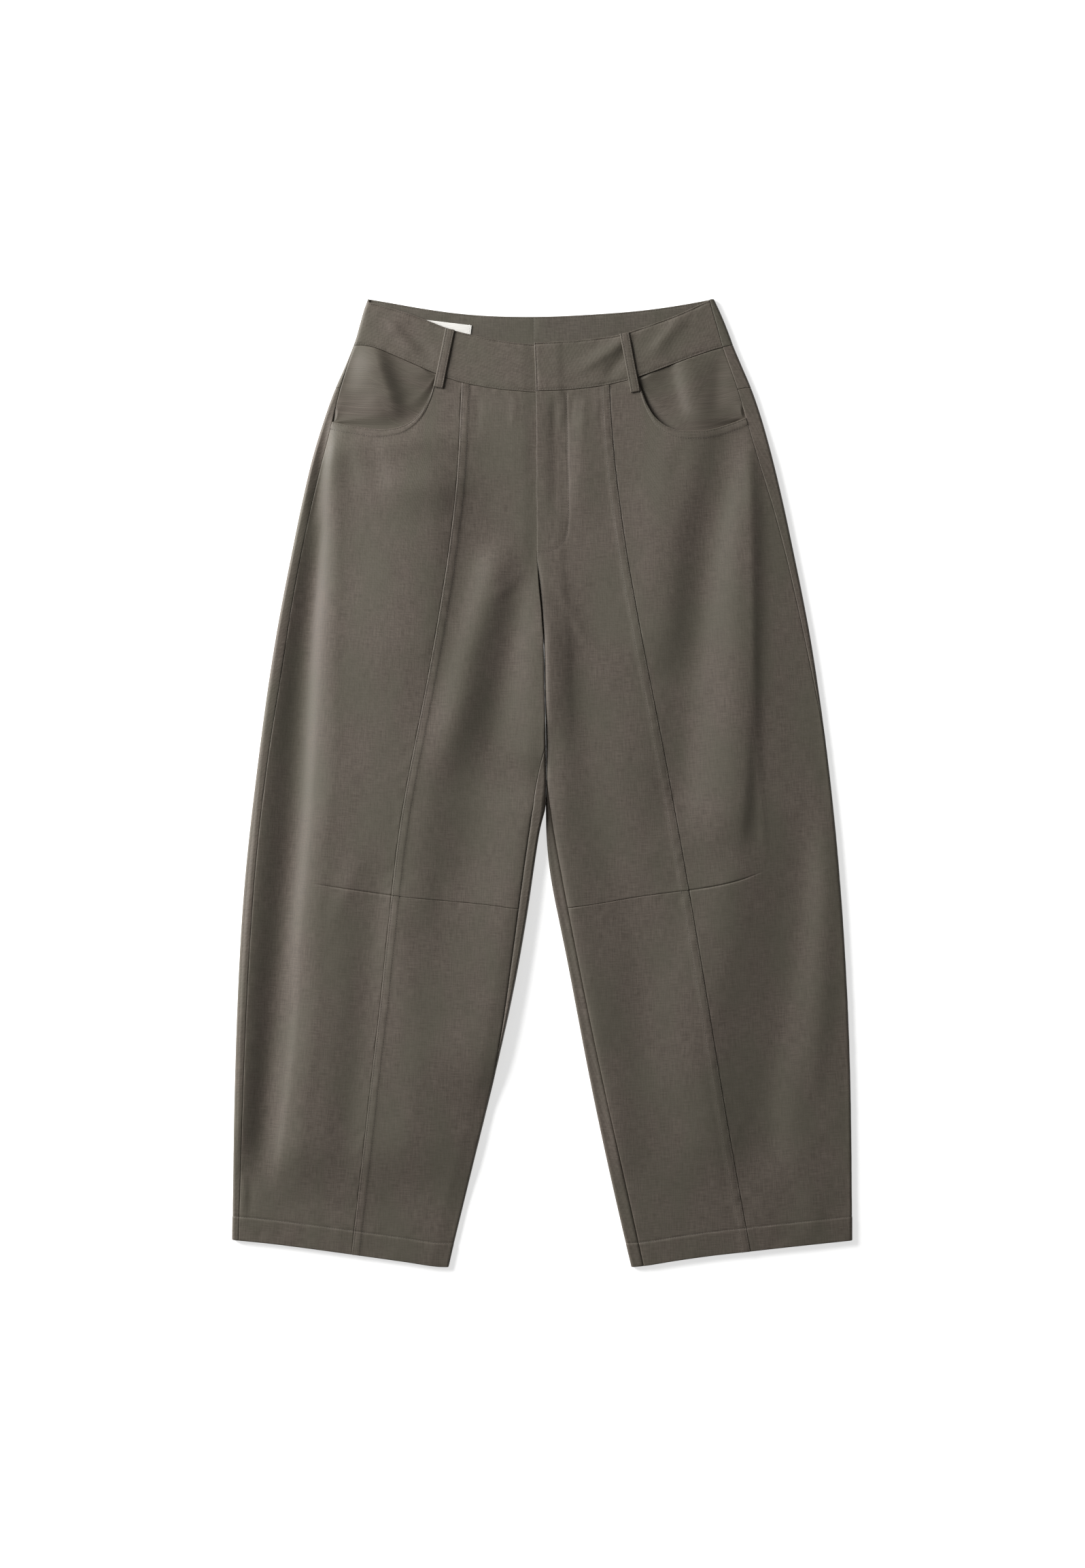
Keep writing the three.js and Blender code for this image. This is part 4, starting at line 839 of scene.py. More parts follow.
def line_on(piece, path):
    """A line of places in plan, dropped on a piece from above."""
    corners, faces = [v.co for v in piece.data.vertices], [p.vertices for p in piece.data.polygons]
    tree = BVHTree.FromPolygons(corners, faces)
    found = [tree.ray_cast(Vector((x * MM, y * MM, DROP_HEIGHT)), Vector((0, 0, -1)))[0] for x, y in path]
    return np.array([(p.x, p.y, p.z) for p in found if p is not None]) / MM


# Materials

def colour(text):
    """An sRGB hex value as the linear colour that shaders read."""
    parts = [int(text[i:i + 2], 16) / 255 for i in (1, 3, 5)]
    return tuple(c / 12.92 if c <= 0.04045 else ((c + 0.055) / 1.055) ** 2.4 for c in parts) + (1.0,)


def add_node(tree, kind, settings=None, inputs=None):
    """Adds a node with its settings, and its inputs as values or as sockets to link from."""
    made = tree.nodes.new(kind)
    for key, value in (settings or {}).items():
        setattr(made, key, value)
    for key, value in (inputs or {}).items():
        socket = next(i for i in made.inputs if i.identifier == key)
        if isinstance(value, bpy.types.NodeSocket):
            tree.links.new(value, socket)
        else:
            socket.default_value = value
    return made


def output(node, identifier):
    return next(o for o in node.outputs if o.identifier == identifier)


def empty_material(name):
    material = bpy.data.materials.new(name)
    material.use_nodes = True
    material.node_tree.nodes.clear()
    return material, material.node_tree


# Pattern scales in millimetres, across and along the cloth
WARP_STREAK = (1.1, 16)
WEFT_STREAK = (13, 1.0)
CLOUD = (58, 104)
TWILL_LINE = 1.3
LABEL_WEFT = (16, 0.8)

# Depth of the weave on the two faces of the cloth, in metres, and how far its clouds tint it
FACE_DEPTH = 0.00016
INSIDE_DEPTH = 0.00014
CLOUD_SHARE = 0.5


def suiting(name, warp_colour, weft_colour, cast_colour, depth):
    """Wool-blend suiting, a fine 2/1 twill woven from mixed olive and mauve-grey yarns and pressed flat.
    To the eye it is a matt taupe with faint lengthways streaks, soft clouds of the two yarns, and a
    little sheen where it turns to the light. The real twill line is about 0.5 mm apart: it is drawn at
    1.3 mm, as coarse as it needs to be to show."""
    material, tree = empty_material(name)
    uv = add_node(tree, "ShaderNodeUVMap", {"uv_map": "cloth"}).outputs["UV"]

    def spread(across_mm, along_mm):
        return add_node(tree, "ShaderNodeMapping", None, {
            "Vector": uv, "Scale": (1000 / across_mm, 1000 / along_mm, 1)}).outputs["Vector"]

    warp, weft, cloud = (
        add_node(tree, "ShaderNodeTexNoise", {"noise_dimensions": "2D"}, {
            "Vector": spread(*size), "Scale": 1.0, "Detail": 3.0, "Roughness": roughness}).outputs["Fac"]
        for size, roughness in ((WARP_STREAK, 0.6), (WEFT_STREAK, 0.6), (CLOUD, 0.55)))
    twill = add_node(tree, "ShaderNodeTexWave", {"bands_direction": "DIAGONAL", "wave_profile": "SIN"}, {
        "Vector": spread(TWILL_LINE * 20, TWILL_LINE * 20), "Scale": 3.2, "Distortion": 1.2, "Detail": 2.0,
        "Detail Scale": 6.0}).outputs["Fac"]
    yarns = add_node(tree, "ShaderNodeMath", {"operation": "ADD"}, {
        "Value": warp, "Value_001": weft}).outputs[0]
    streak = add_node(tree, "ShaderNodeMapRange", None, {
        "Value": yarns, "From Min": 0.72, "From Max": 1.28}).outputs["Result"]
    mixed = add_node(tree, "ShaderNodeMix", {"data_type": "RGBA"}, {
        "Factor_Float": streak, "A_Color": colour(weft_colour), "B_Color": colour(warp_colour)})
    base = output(mixed, "Result_Color")
    clouds = add_node(tree, "ShaderNodeMapRange", None, {
        "Value": cloud, "From Min": 0.36, "From Max": 0.64}).outputs["Result"]
    tinted = add_node(tree, "ShaderNodeMix", {"data_type": "RGBA"}, {
        "Factor_Float": clouds, "A_Color": base, "B_Color": colour(cast_colour)})
    half = add_node(tree, "ShaderNodeMix", {"data_type": "RGBA"}, {
        "Factor_Float": CLOUD_SHARE, "A_Color": base, "B_Color": output(tinted, "Result_Color")})
    height = add_node(tree, "ShaderNodeMath", {"operation": "MULTIPLY_ADD"}, {
        "Value": twill, "Value_001": 0.5, "Value_002": yarns}).outputs[0]
    bump = add_node(tree, "ShaderNodeBump", None, {
        "Strength": 0.35, "Distance": depth, "Height": height}).outputs["Normal"]
    rough = add_node(tree, "ShaderNodeMapRange", None, {
        "Value": yarns, "From Min": 0.7, "From Max": 1.3, "To Min": 0.54, "To Max": 0.68}).outputs["Result"]
    shader = add_node(tree, "ShaderNodeBsdfPrincipled", None, {
        "Base Color": output(half, "Result_Color"), "Roughness": rough, "Normal": bump, "IOR": 1.45,
        "Specular IOR Level": 0.5, "Sheen Weight": 0.08, "Sheen Roughness": 0.45,
        "Sheen Tint": colour("#cfc6ba")})
    add_node(tree, "ShaderNodeOutputMaterial", None, {"Surface": shader.outputs["BSDF"]})
    return material


def sewing_thread(name, first_colour, second_colour):
    """Spun polyester sewing thread, dyed to match: to the eye a matt, slightly darker dash with a soft
    twist. The matched thread's darkness is partly painted shade of the stitch holes and seam lines."""
    material, tree = empty_material(name)
    place = add_node(tree, "ShaderNodeTexCoord").outputs["Object"]
    twist = add_node(tree, "ShaderNodeTexNoise", None, {
        "Vector": place, "Scale": 2600.0, "Detail": 1.0}).outputs["Fac"]
    shade = add_node(tree, "ShaderNodeMix", {"data_type": "RGBA"}, {
        "Factor_Float": twist, "A_Color": colour(first_colour), "B_Color": colour(second_colour)})
    shader = add_node(tree, "ShaderNodeBsdfPrincipled", None, {
        "Base Color": output(shade, "Result_Color"), "Roughness": 0.7, "IOR": 1.5, "Sheen Weight": 0.1})
    add_node(tree, "ShaderNodeOutputMaterial", None, {"Surface": shader.outputs["BSDF"]})
    return material


def label_satin(name, label_colour, shade_colour):
    """Polyester satin ribbon, woven fine and heat-cut: to the eye an off-white with a soft gloss and
    faint weft lines, which are 0.25 mm apart and drawn at 0.8 mm."""
    material, tree = empty_material(name)
    uv = add_node(tree, "ShaderNodeUVMap", {"uv_map": "cloth"}).outputs["UV"]
    across_mm, along_mm = LABEL_WEFT
    lines = add_node(tree, "ShaderNodeMapping", None, {
        "Vector": uv, "Scale": (1000 / across_mm, 1000 / along_mm, 1)})
    weft = add_node(tree, "ShaderNodeTexNoise", {"noise_dimensions": "2D"}, {
        "Vector": lines.outputs["Vector"], "Scale": 1.0, "Detail": 2.0}).outputs["Fac"]
    shade = add_node(tree, "ShaderNodeMix", {"data_type": "RGBA"}, {
        "Factor_Float": weft, "A_Color": colour(label_colour), "B_Color": colour(shade_colour)})
    bump = add_node(tree, "ShaderNodeBump", None, {"Strength": 0.2, "Distance": 0.0001, "Height": weft})
    shader = add_node(tree, "ShaderNodeBsdfPrincipled", None, {
        "Base Color": output(shade, "Result_Color"), "Roughness": 0.45, "IOR": 1.5,
        "Normal": bump.outputs["Normal"], "Sheen Weight": 0.1})
    add_node(tree, "ShaderNodeOutputMaterial", None, {"Surface": shader.outputs["BSDF"]})
    return material


def floor_paper(name, floor_colour):
    """White drawing paper on a light table: to the eye a plain matt white. The light from under it
    lets it glow a little, so shadows on it stay faint."""
    material, tree = empty_material(name)
    place = add_node(tree, "ShaderNodeTexCoord").outputs["Object"]
    tooth = add_node(tree, "ShaderNodeTexNoise", None, {"Vector": place, "Scale": 900.0, "Detail": 2.0})
    bump = add_node(tree, "ShaderNodeBump", None, {
        "Strength": 0.05, "Distance": 0.0001, "Height": tooth.outputs["Fac"]})
    shader = add_node(tree, "ShaderNodeBsdfPrincipled", None, {
        "Base Color": colour(floor_colour), "Roughness": 0.95, "Normal": bump.outputs["Normal"],
        "Specular IOR Level": 0.1, "Emission Color": (1, 1, 1, 1), "Emission Strength": 0.6})
    add_node(tree, "ShaderNodeOutputMaterial", None, {"Surface": shader.outputs["BSDF"]})
    return material


def finish_named(name):
    """The material of that name, made the first time it is asked for."""
    if name in bpy.data.materials:
        return bpy.data.materials[name]
    looks = bpy.context.scene.trouser_looks
    make, *given = {
        "wool_blend_suiting": (
            suiting, looks.suiting_light, looks.suiting_dark, looks.suiting_cast, FACE_DEPTH),
        # The inside face uses the suiting's colours drawn darker: painted shade on the inside of the back
        # waistband.
        "suiting_inside_face": (
            suiting, looks.inside_shaded_light, looks.inside_shaded_dark, looks.suiting_cast, INSIDE_DEPTH),
        # The matched thread is drawn darker than the cloth: partly painted shade of the stitch holes and
        # seam lines.
        "matched_sewing_thread": (sewing_thread, looks.thread, looks.suiting_dark),
        "white_label_thread": (sewing_thread, looks.label_shade, looks.label),
        "satin_label_ribbon": (label_satin, looks.label, looks.label_shade),
        "white_paper_floor": (floor_paper, looks.floor),
    }[name]
    return make(name, *given)


# Front panels

LEG_ROW_STEP = 3.0
SIDE_COLUMNS = 56
UPPER_CENTRE_COLUMNS = 56
LOWER_CENTRE_COLUMNS = 44
EDGE_ROWS = 60
MOUTH_SHARE = 0.84
MOUTH_BLEND = 0.1
MOUTH_RAISE = 0.45
DART_TAPER = 30
DART_DEPTH = 0.75
DART_REACH = 0.8
HEM_ROW_DEPTH = 0.35
HEM_RIPPLE = 0.22
HEM_RIPPLE_BUMP = 13
HEM_RIPPLE_START = 8
HEM_RIPPLE_END = 16
HEM_FALL = 0.7
PANEL_FALL = 0.7
PANEL_ROW_DEPTH = 0.16
PANEL_SIDE_FALL = 0.45
MOUTH_FALL = 0.75
MOUTH_EDGE_ROW_DEPTH = 0.28
MOUTH_TOP_ROW_DEPTH = 0.32
FLY_STITCH_POINTS = 60
FLY_LINE_POINTS = 90
FLY_STITCH_LENGTH = 200
FLY_STITCH_DEPTH = 0.4
FLY_STITCH_REACH = 1.1


def side_panel_patterns(s):
    """The side panel above and below the knee. Its top edge is the pocket mouth and a little band seam."""
    near = front_side_edge(s)
    mouth = even_path(s.pocket)
    start_shift = float(near(s.pocket[0][1])) - s.pocket[0][0]
    end_x = s.pocket[-1][0]
    panel_top = crossing(s.panel, s.band_seam, PANEL_TOP_ABOUT[0])
    panel_x = float(s.panel(panel_top))

    def top(u):
        on_mouth = mouth.at(np.clip(u / MOUTH_SHARE, 0, 1))
        on_mouth[..., 0] += start_shift * smooth(MOUTH_BLEND, 0, u)
        x = mix(end_x, panel_x, np.clip((u - MOUTH_SHARE) / (1 - MOUTH_SHARE), 0, 1))
        on_seam = np.stack([x, s.band_seam(x)], -1)
        return np.where((u < MOUTH_SHARE)[..., None], on_mouth, on_seam)

    knee_near, knee_far = (crossing(line, s.knee, y) for line, y in zip((near, s.panel), KNEE_ABOUT))
    knee = across(s.knee, float(near(knee_near)), float(s.panel(knee_far)))
    above = patch(top, knee, down(near, s.pocket[0][1], knee_near), down(s.panel, panel_top, knee_far))
    return above, pattern_between(s.knee, s.hem, near, s.panel, KNEE_ABOUT, HEM_ABOUT)


def hem_raise(s, x, y):
    """The turned-up hem lies a little proud, and its one row of stitches draws it in."""
    depth = y - s.hem(x)
    step = HEM_RAISE * smooth(HEM_DEPTH + 0.6, HEM_DEPTH - 0.8, depth)
    ripple = HEM_RIPPLE * soft_noise(x, depth * 0.35, HEM_RIPPLE_BUMP, 21)
    ripple = ripple * smooth(0, HEM_RIPPLE_START, depth)
    ripple = ripple * smooth(HEM_DEPTH + HEM_RIPPLE_END, HEM_DEPTH, depth)
    return step + ripple + row_trough(depth, x, HEM_DEPTH, HEM_ROW_DEPTH) + fall(depth, HEM_FALL)


def hem_line(s, face, x, y):
    """The line of the hem's stitches, which lies in the last rows of a leg's face."""
    depth = y - s.hem(x)
    return line_across(face[-EDGE_ROWS:], -depth[-EDGE_ROWS:], -HEM_DEPTH)


def front_side(s, sizes):
    """Side front panel with the scooped pocket mouth and the knee dart."""
    above, below = side_panel_patterns(s)
    upper = grid_of(above, GAP_SEWN_EDGE, EDGE, EDGE, GAP_EDGE, LEG_ROW_STEP, SIDE_COLUMNS)
    lower = grid_of(below, EDGE, HEM_EDGE, EDGE, GAP_EDGE, LEG_ROW_STEP, SIDE_COLUMNS)
    plan = np.concatenate([upper, lower[1:]])
    x, y = plan[..., 0], plan[..., 1]
    skin = np.dstack([x, y, upper_height(s, x, y)])
    span = runs(skin)
    on_mouth = smooth(MOUTH_SHARE + 0.01, MOUTH_SHARE - 0.02, np.linspace(0, 1, x.shape[1]))[None, :]
    in_dart = smooth(0, DART_TAPER, (x - s.dart_end) * s.towards)
    to_knee = np.abs(y - s.knee(x))
    relief = cloth_relief(s, x, y, sizes) + hem_raise(s, x, y)
    relief += fall(span.near) + fall(span.far, PANEL_SIDE_FALL) + fall(span.top, MOUTH_FALL)
    relief += row_trough(span.top, span.near, EDGE_ROW, MOUTH_EDGE_ROW_DEPTH) * on_mouth
    relief += row_trough(span.top, span.near, TOP_ROW, MOUTH_TOP_ROW_DEPTH) * on_mouth
    relief += MOUTH_RAISE * smooth(TOP_ROW + 1.6, TOP_ROW, span.top) * on_mouth
    relief += pucker(span.far, y, in_mm(sizes.pucker), 31)
    relief += pucker(span.near, y, in_mm(0.6 * sizes.pucker), 32)
    relief += pucker(span.top, span.near, in_mm(0.8 * sizes.pucker), 33)
    relief -= DART_DEPTH * in_dart * np.exp(-((to_knee / DART_REACH) ** 2))
    relief += pucker(to_knee, x, in_mm(0.7 * sizes.pucker), 34) * in_dart
    face = cloth_piece(
        f"side_front_{s.name}", f"front_side_{s.name}", skin, span, in_mm(sizes.cloth), relief,
        4 * s.towards).face
    mouth = slice(0, EDGE_ROWS), slice(0, int(MOUTH_SHARE * x.shape[1]))
    keep_lines(*(line_across(face[mouth], span.top[mouth], row) for row in (EDGE_ROW, TOP_ROW)))
    keep_lines(hem_line(s, face, x, y))


def front_centre(s, upper, sizes):
    """Centre front panel above or below the knee, with the stitched strip along the panel seam."""
    far = front_inner_edge(s)
    if upper:
        pattern = pattern_between(s.band_seam, s.knee, s.panel, far, PANEL_TOP_ABOUT, KNEE_ABOUT)
        bottom, columns_between = GAP_EDGE, UPPER_CENTRE_COLUMNS
    else:
        pattern = pattern_between(s.knee, s.hem, s.panel, far, KNEE_ABOUT, HEM_ABOUT)
        bottom, columns_between = HEM_EDGE, LOWER_CENTRE_COLUMNS
    plan = grid_of(pattern, GAP_EDGE, bottom, GAP_SEWN_EDGE, EDGE, LEG_ROW_STEP, columns_between)
    x, y = plan[..., 0], plan[..., 1]
    skin = np.dstack([x, y, upper_height(s, x, y)])
    span = runs(skin)
    tucked_edge = smooth(FLY_END_Y - FLY_TUCK_TURN, FLY_END_Y, y) if s is RIGHT else np.zeros(x.shape)
    relief = cloth_relief(s, x, y, sizes)
    relief += LAP_RAISE * smooth(TOP_ROW + 2.4, TOP_ROW - 1, span.near)
    relief += fall(span.near, PANEL_FALL)
    relief += row_trough(span.near, y, EDGE_ROW, PANEL_ROW_DEPTH)
    relief += row_trough(span.near, y, TOP_ROW, PANEL_ROW_DEPTH)
    relief += pucker(span.near, y, in_mm(sizes.pucker), 41)
    at_fly = smooth(FLY_FOOT_Y, FLY_END_Y, y) * (1 if s is LEFT else 0)
    at_inseam = below_leg_gap(y)
    relief += fall(span.far, CENTRE_FALL) * (1 - tucked_edge) * (1 - FLY_EASE * at_fly)
    if s is LEFT:
        relief += fall(span.far, LEFT_INSEAM_FALL) * at_inseam
        relief += fall(span.far, CROTCH_FALL, CROTCH_ROUND) * (1 - at_inseam) * (1 - at_fly)
    else:
        relief += fall(span.far, INSEAM_FALL, INSEAM_ROUND) * at_inseam
    relief += pucker(span.far, y, in_mm(0.5 * sizes.pucker), 42)
    relief += fall(span.top) + pucker(span.top, x, in_mm(sizes.pucker), 43)
    if upper:
        relief += fall(span.bottom) + pucker(span.bottom, x, in_mm(0.7 * sizes.pucker), 44)
        if s is LEFT:
            from_stitch, along, _ = nearest(smooth_path(FLY_STITCH, FLY_STITCH_POINTS), x, y)
            uneven = 1 + 0.3 * soft_noise(along * FLY_STITCH_LENGTH, y * 0, ROW_BUMP, 45)
            relief -= FLY_STITCH_DEPTH * np.exp(-((from_stitch / FLY_STITCH_REACH) ** 2)) * uneven
    else:
        relief += hem_raise(s, x, y)
    part = "upper" if upper else "lower"
    made = cloth_piece(
        f"centre_front_{part}_{s.name}", f"front_center_{part}_{s.name}", skin, span, in_mm(sizes.cloth),
        relief, 1.5 * s.towards)
    keep_lines(*(line_down(made.face, span.near, row) for row in (EDGE_ROW, TOP_ROW)))
    if upper and s is LEFT:
        keep_lines(line_on(made.piece, smooth_path(FLY_STITCH, FLY_LINE_POINTS)))
    if not upper:
        keep_lines(hem_line(s, made.face, x, y))


# Backs. A back piece lies flat on the surface, turns up round the edge and over the top, and ends at
# its seam there.

BACK_BAND_SIDE_Y = 476.4
BACK_BAND_CENTRE_Y = 456
YOKE_SIDE_Y = 430
YOKE_CENTRE_Y = 388
HALF_WAIST = 206
HALF_HIP = 222
BACK_TOP_LINE = through(BACK_TOP, "x", "y")
OUTER_TURN_COLUMNS = 34
INNER_TURN_COLUMNS = 18
LEG_FLAT_COLUMNS = 22
YOKE_FLAT_COLUMNS = 18
BAND_FLAT_COLUMNS = 60
BACK_ROW_STEP = 5
YOKE_ROW_STEP = 4
BAND_ROW_STEP = 2.5
TURNED_UP_Z = (1.5, 4.5)
SHOWN_STRIP = 30
BAND_EDGE_ROWS = 20
BAND_HIDDEN_COLUMNS = 40
BAND_FALL = 0.8
BAND_ROW_DEPTH = 0.3
BAND_WAVE = 0.35
BAND_WAVE_BUMP = 24
BACK_SEAM_FALL = 0.15


def back_band_seam(x):
    return mix(BACK_BAND_CENTRE_Y, BACK_BAND_SIDE_Y, (x / HALF_WAIST) ** 2)


def yoke_seam(x):
    return mix(YOKE_CENTRE_Y, YOKE_SIDE_Y, np.minimum(1, np.abs(x) / HALF_HIP))


def turned(s, radius, arc, edge_x, y, inwards, height):
    """Points of the cloth round a rolled edge: under it, round it, or on top."""
    x = edge_x + inwards * inset_at(radius, arc)
    top = height(s, edge_x + inwards * radius + 0 * arc, y)
    on_roll = top / 2 * (1 + np.sin(np.clip(arc / radius, -QUARTER, QUARTER)))
    z = np.where(arc >= radius * QUARTER, height(s, x, y), on_roll)
    return np.stack([x, y, np.where(arc <= -radius * QUARTER, 0.0, z)], -1)


def on_surface(places):
    """Places in plan as points on the surface that the trousers lie on."""
    return np.concatenate([places, np.zeros(places.shape[:-1] + (1,))], -1)


def back_skin(s, top_line, bottom_line, rows, height, has_inseam, flat_columns):
    """Skin of a back piece, from its seam on top, under the leg, to its other seam or the centre."""
    pattern = pattern_between(top_line, bottom_line, s.outer, s.inner, BACK_TOP_ABOUT, BACK_FOOT_ABOUT)
    length = gap_between(pattern(0.5, 0.0), pattern(0.5, 1.0))
    v = rows(length)[:, None] / length
    width = gap_between(pattern(0.0, v), pattern(1.0, v))

    def y_at(inset):
        return pattern(inset / width, v)[..., 1]

    side_y = y_at(np.zeros(width.shape))
    start = s.side_arc(side_y) - HALF_GAP
    rest = np.linspace(0, 1, OUTER_TURN_COLUMNS)[1:]
    arcs = np.concatenate([start - TURN_EDGE, mix(start - TURN_EDGE[-1], -OUTER_ROLL * QUARTER, rest)], 1)
    y = y_at(inset_at(OUTER_ROLL, arcs))
    parts = [turned(s, OUTER_ROLL, arcs, s.outer(side_y), y, s.towards, height)]
    last = width - INNER_ROLL
    insets = mix(OUTER_ROLL, last, np.linspace(0, 1, flat_columns + 1)[1:])
    parts.append(on_surface(pattern(insets / width, v)))
    if not has_inseam:
        parts.append(on_surface(pattern(np.ones(width.shape), v)))
        return np.concatenate(parts, 1)
    inner_y = y_at(width)
    turn = below_crotch(inner_y)[..., None]
    stop = s.inseam_arc(inner_y) - HALF_GAP
    tail = TURN_EDGE[::-1]
    rest = np.linspace(0, 1, INNER_TURN_COLUMNS)[1:]
    arcs = np.concatenate([mix(-INNER_ROLL * QUARTER, stop - tail[0], rest), stop - tail[1:]], 1)
    y = y_at(width - inset_at(INNER_ROLL, arcs))
    rolled = turned(s, INNER_ROLL, arcs, s.inner(inner_y), y, -s.towards, height)
    share = np.linspace(0, 1, arcs.shape[1] + 1)[1:]
    flat = on_surface(pattern(mix(last, width, share) / width, v))
    parts.append(mix(flat, rolled, turn))
    return np.concatenate(parts, 1)


def back_leg(s, sizes):
    """Back of a leg: the strips outside the side seam and inside the inseam show from the front."""
    def upper_rows(length):
        return HALF_GAP + stations(length - HALF_GAP, BACK_ROW_STEP, EDGE, (0, BACK_ROW_STEP))

    def lower_rows(length):
        return stations(length, BACK_ROW_STEP, (0, BACK_ROW_STEP), HEM_EDGE)

    upper = back_skin(s, yoke_seam, s.knee, upper_rows, upper_height, True, LEG_FLAT_COLUMNS)
    lower = back_skin(s, s.knee, s.hem, lower_rows, upper_height, True, LEG_FLAT_COLUMNS)
    skin = np.concatenate([upper, lower[1:]])
    x, y, z = skin[..., 0], skin[..., 1], skin[..., 2]
    span = runs(skin)
    on_top = smooth(*TURNED_UP_Z, z)
    inseam_fall = LEFT_BACK_INSEAM_FALL if s is LEFT else BACK_INSEAM_FALL
    strip_pucker = in_mm(0.6 * sizes.pucker)
    relief = on_top * (fall(span.near) + fall(span.far) + fall(span.top) + hem_raise(s, x, y))
    relief += on_top * fall(span.far, inseam_fall, BACK_INSEAM_ROUND) * below_leg_gap(y)
    relief += on_top * (pucker(span.near, y, strip_pucker, 51) + pucker(span.far, y, strip_pucker, 52))
    face = cloth_piece(
        f"leg_back_{s.name}", f"back_leg_{s.name}", skin, span, in_mm(sizes.cloth), relief,
        3 * s.towards, up=False).face
    outside = (span.near < SHOWN_STRIP) & (z > OUTER_ROLL)
    hem_depth = (y - s.hem(x))[-EDGE_ROWS:, 0]
    hem_row = int(np.argmin(np.abs(hem_depth - HEM_DEPTH))) + len(skin) - EDGE_ROWS
    seen = face[hem_row][outside[hem_row]]
    if len(seen) > 2:
        keep_lines(seen)


def back_yoke(s, sizes):
    """Back yoke, whose end shows outside the side seam."""
    def rows(length):
        return HALF_GAP + stations(length - 2 * HALF_GAP, YOKE_ROW_STEP, EDGE, EDGE)

    skin = back_skin(s, back_band_seam, yoke_seam, rows, upper_height, False, YOKE_FLAT_COLUMNS)
    span = runs(skin)
    relief = smooth(*TURNED_UP_Z, skin[..., 2]) * (fall(span.near) + fall(span.top) + fall(span.bottom))
    cloth_piece(
        f"yoke_{s.name}", f"back_yoke_{s.name}", skin, span, in_mm(sizes.cloth), relief,
        3 * s.towards, up=False)


def back_band(s, sizes):
    """Back waistband half. Its inside shows above the front, with a row of stitches along the top."""
    def rows(length):
        return stations(length - HALF_GAP, BAND_ROW_STEP, BAND_TOP_EDGE, EDGE)

    skin = back_skin(s, BACK_TOP_LINE, back_band_seam, rows, band_height, False, BAND_FLAT_COLUMNS)
    x, y = skin[..., 0], skin[..., 1]
    span = runs(skin)
    on_top = smooth(*TURNED_UP_Z, skin[..., 2])
    relief = on_top * (fall(span.near) + fall(span.top, BAND_FALL) + fall(span.bottom))
    inside = row_trough(span.top, x, EDGE_ROW, BAND_ROW_DEPTH)
    inside += pucker(span.top, x, in_mm(0.8 * sizes.pucker), 61)
    inside += fall(span.top, BAND_FALL) + fall(span.far, BACK_SEAM_FALL)
    inside += 0.5 * pucker(span.far, y, in_mm(sizes.pucker), 62)
    inside += BAND_WAVE * soft_noise(x, y, BAND_WAVE_BUMP, 63) * smooth(0, 6, span.far)
    inside *= 1 - on_top
    # The inside face takes a darker copy of the suiting: painted shade.
    inner = cloth_piece(
        f"band_back_{s.name}", f"back_waistband_{s.name}", skin, span, in_mm(sizes.band_cloth), relief,
        0, up=False, inside=inside, finish="suiting_inside_face").inner
    shown = slice(0, BAND_EDGE_ROWS), slice(BAND_HIDDEN_COLUMNS, -1)
    keep_lines(line_across(inner[shown], span.top[shown], EDGE_ROW))


BAND_COLUMNS = 110
FRONT_BAND_ROW_STEP = 1.8
BAND_TOP_FALL = 0.5
BAND_FOOT_FALL = 0.9
BAND_TOP_ROW_DEPTH = 0.55
BAND_FOOT_ROW_DEPTH = 0.4
BAND_UNEVEN_SCALE = 1.6


def front_band(s, sizes):
    """Front waistband half, edge stitched along its top and foot. The left one laps over at the centre,
    with a row down its end.
    """
    near = front_side_edge(s, SEAM_GAP)
    pattern = pattern_between(s.front_top, s.band_seam, near, s.inner, BAND_TOP_ABOUT, BAND_SEAM_ABOUT)
    plan = grid_of(pattern, EDGE, GAP_EDGE, EDGE, EDGE, FRONT_BAND_ROW_STEP, BAND_COLUMNS)
    x, y = plan[..., 0], plan[..., 1]
    skin = np.dstack([x, y, band_height(s, x, y)])
    span = runs(skin)
    relief = fall(span.top, BAND_TOP_FALL) + fall(span.bottom, BAND_FOOT_FALL) + fall(span.near)
    relief += row_trough(span.top, x, EDGE_ROW, BAND_TOP_ROW_DEPTH)
    relief += row_trough(span.bottom, x, EDGE_ROW, BAND_FOOT_ROW_DEPTH)
    relief += pucker(span.top, x, in_mm(sizes.pucker), 71) + pucker(span.bottom, x, in_mm(sizes.pucker), 72)
    unevenness_at = x * BAND_UNEVEN_SCALE, y * BAND_UNEVEN_SCALE
    relief += 0.5 * unevenness(*unevenness_at, in_mm(sizes.unevenness))
    if s is LEFT:
        relief += fall(span.far) + row_trough(span.far, y, EDGE_ROW, BAND_FOOT_ROW_DEPTH)
    face = cloth_piece(
        f"band_front_{s.name}", f"front_waistband_{s.name}", skin, span, in_mm(sizes.band_cloth), relief,
        90 + 12 * s.towards).face
    middle = slice(2, -2)
    top, bottom = (slice(0, BAND_EDGE_ROWS), middle), (slice(-BAND_EDGE_ROWS, None), middle)
    keep_lines(
        line_across(face[top], span.top[top], EDGE_ROW),
        line_across(face[bottom], -span.bottom[bottom], -EDGE_ROW))
    if s is LEFT:
        keep_lines(line_down(face[4:-4, ::-1], span.far[4:-4, ::-1], EDGE_ROW))


FACING_CLOTH = 1.0
FACING_ROWS = 96
FACING_COLUMNS = 64
FACING_CORNER = 0.46
FACING_SETBACK = 1.2
POCKET_UNDERLAP = 6
POCKET_DROP = 0.5
MOUTH_DEPTH = 1.7
FACING_FALL = 0.4
FACING_WAVE = 0.25
FACING_WAVE_BUMP = 17

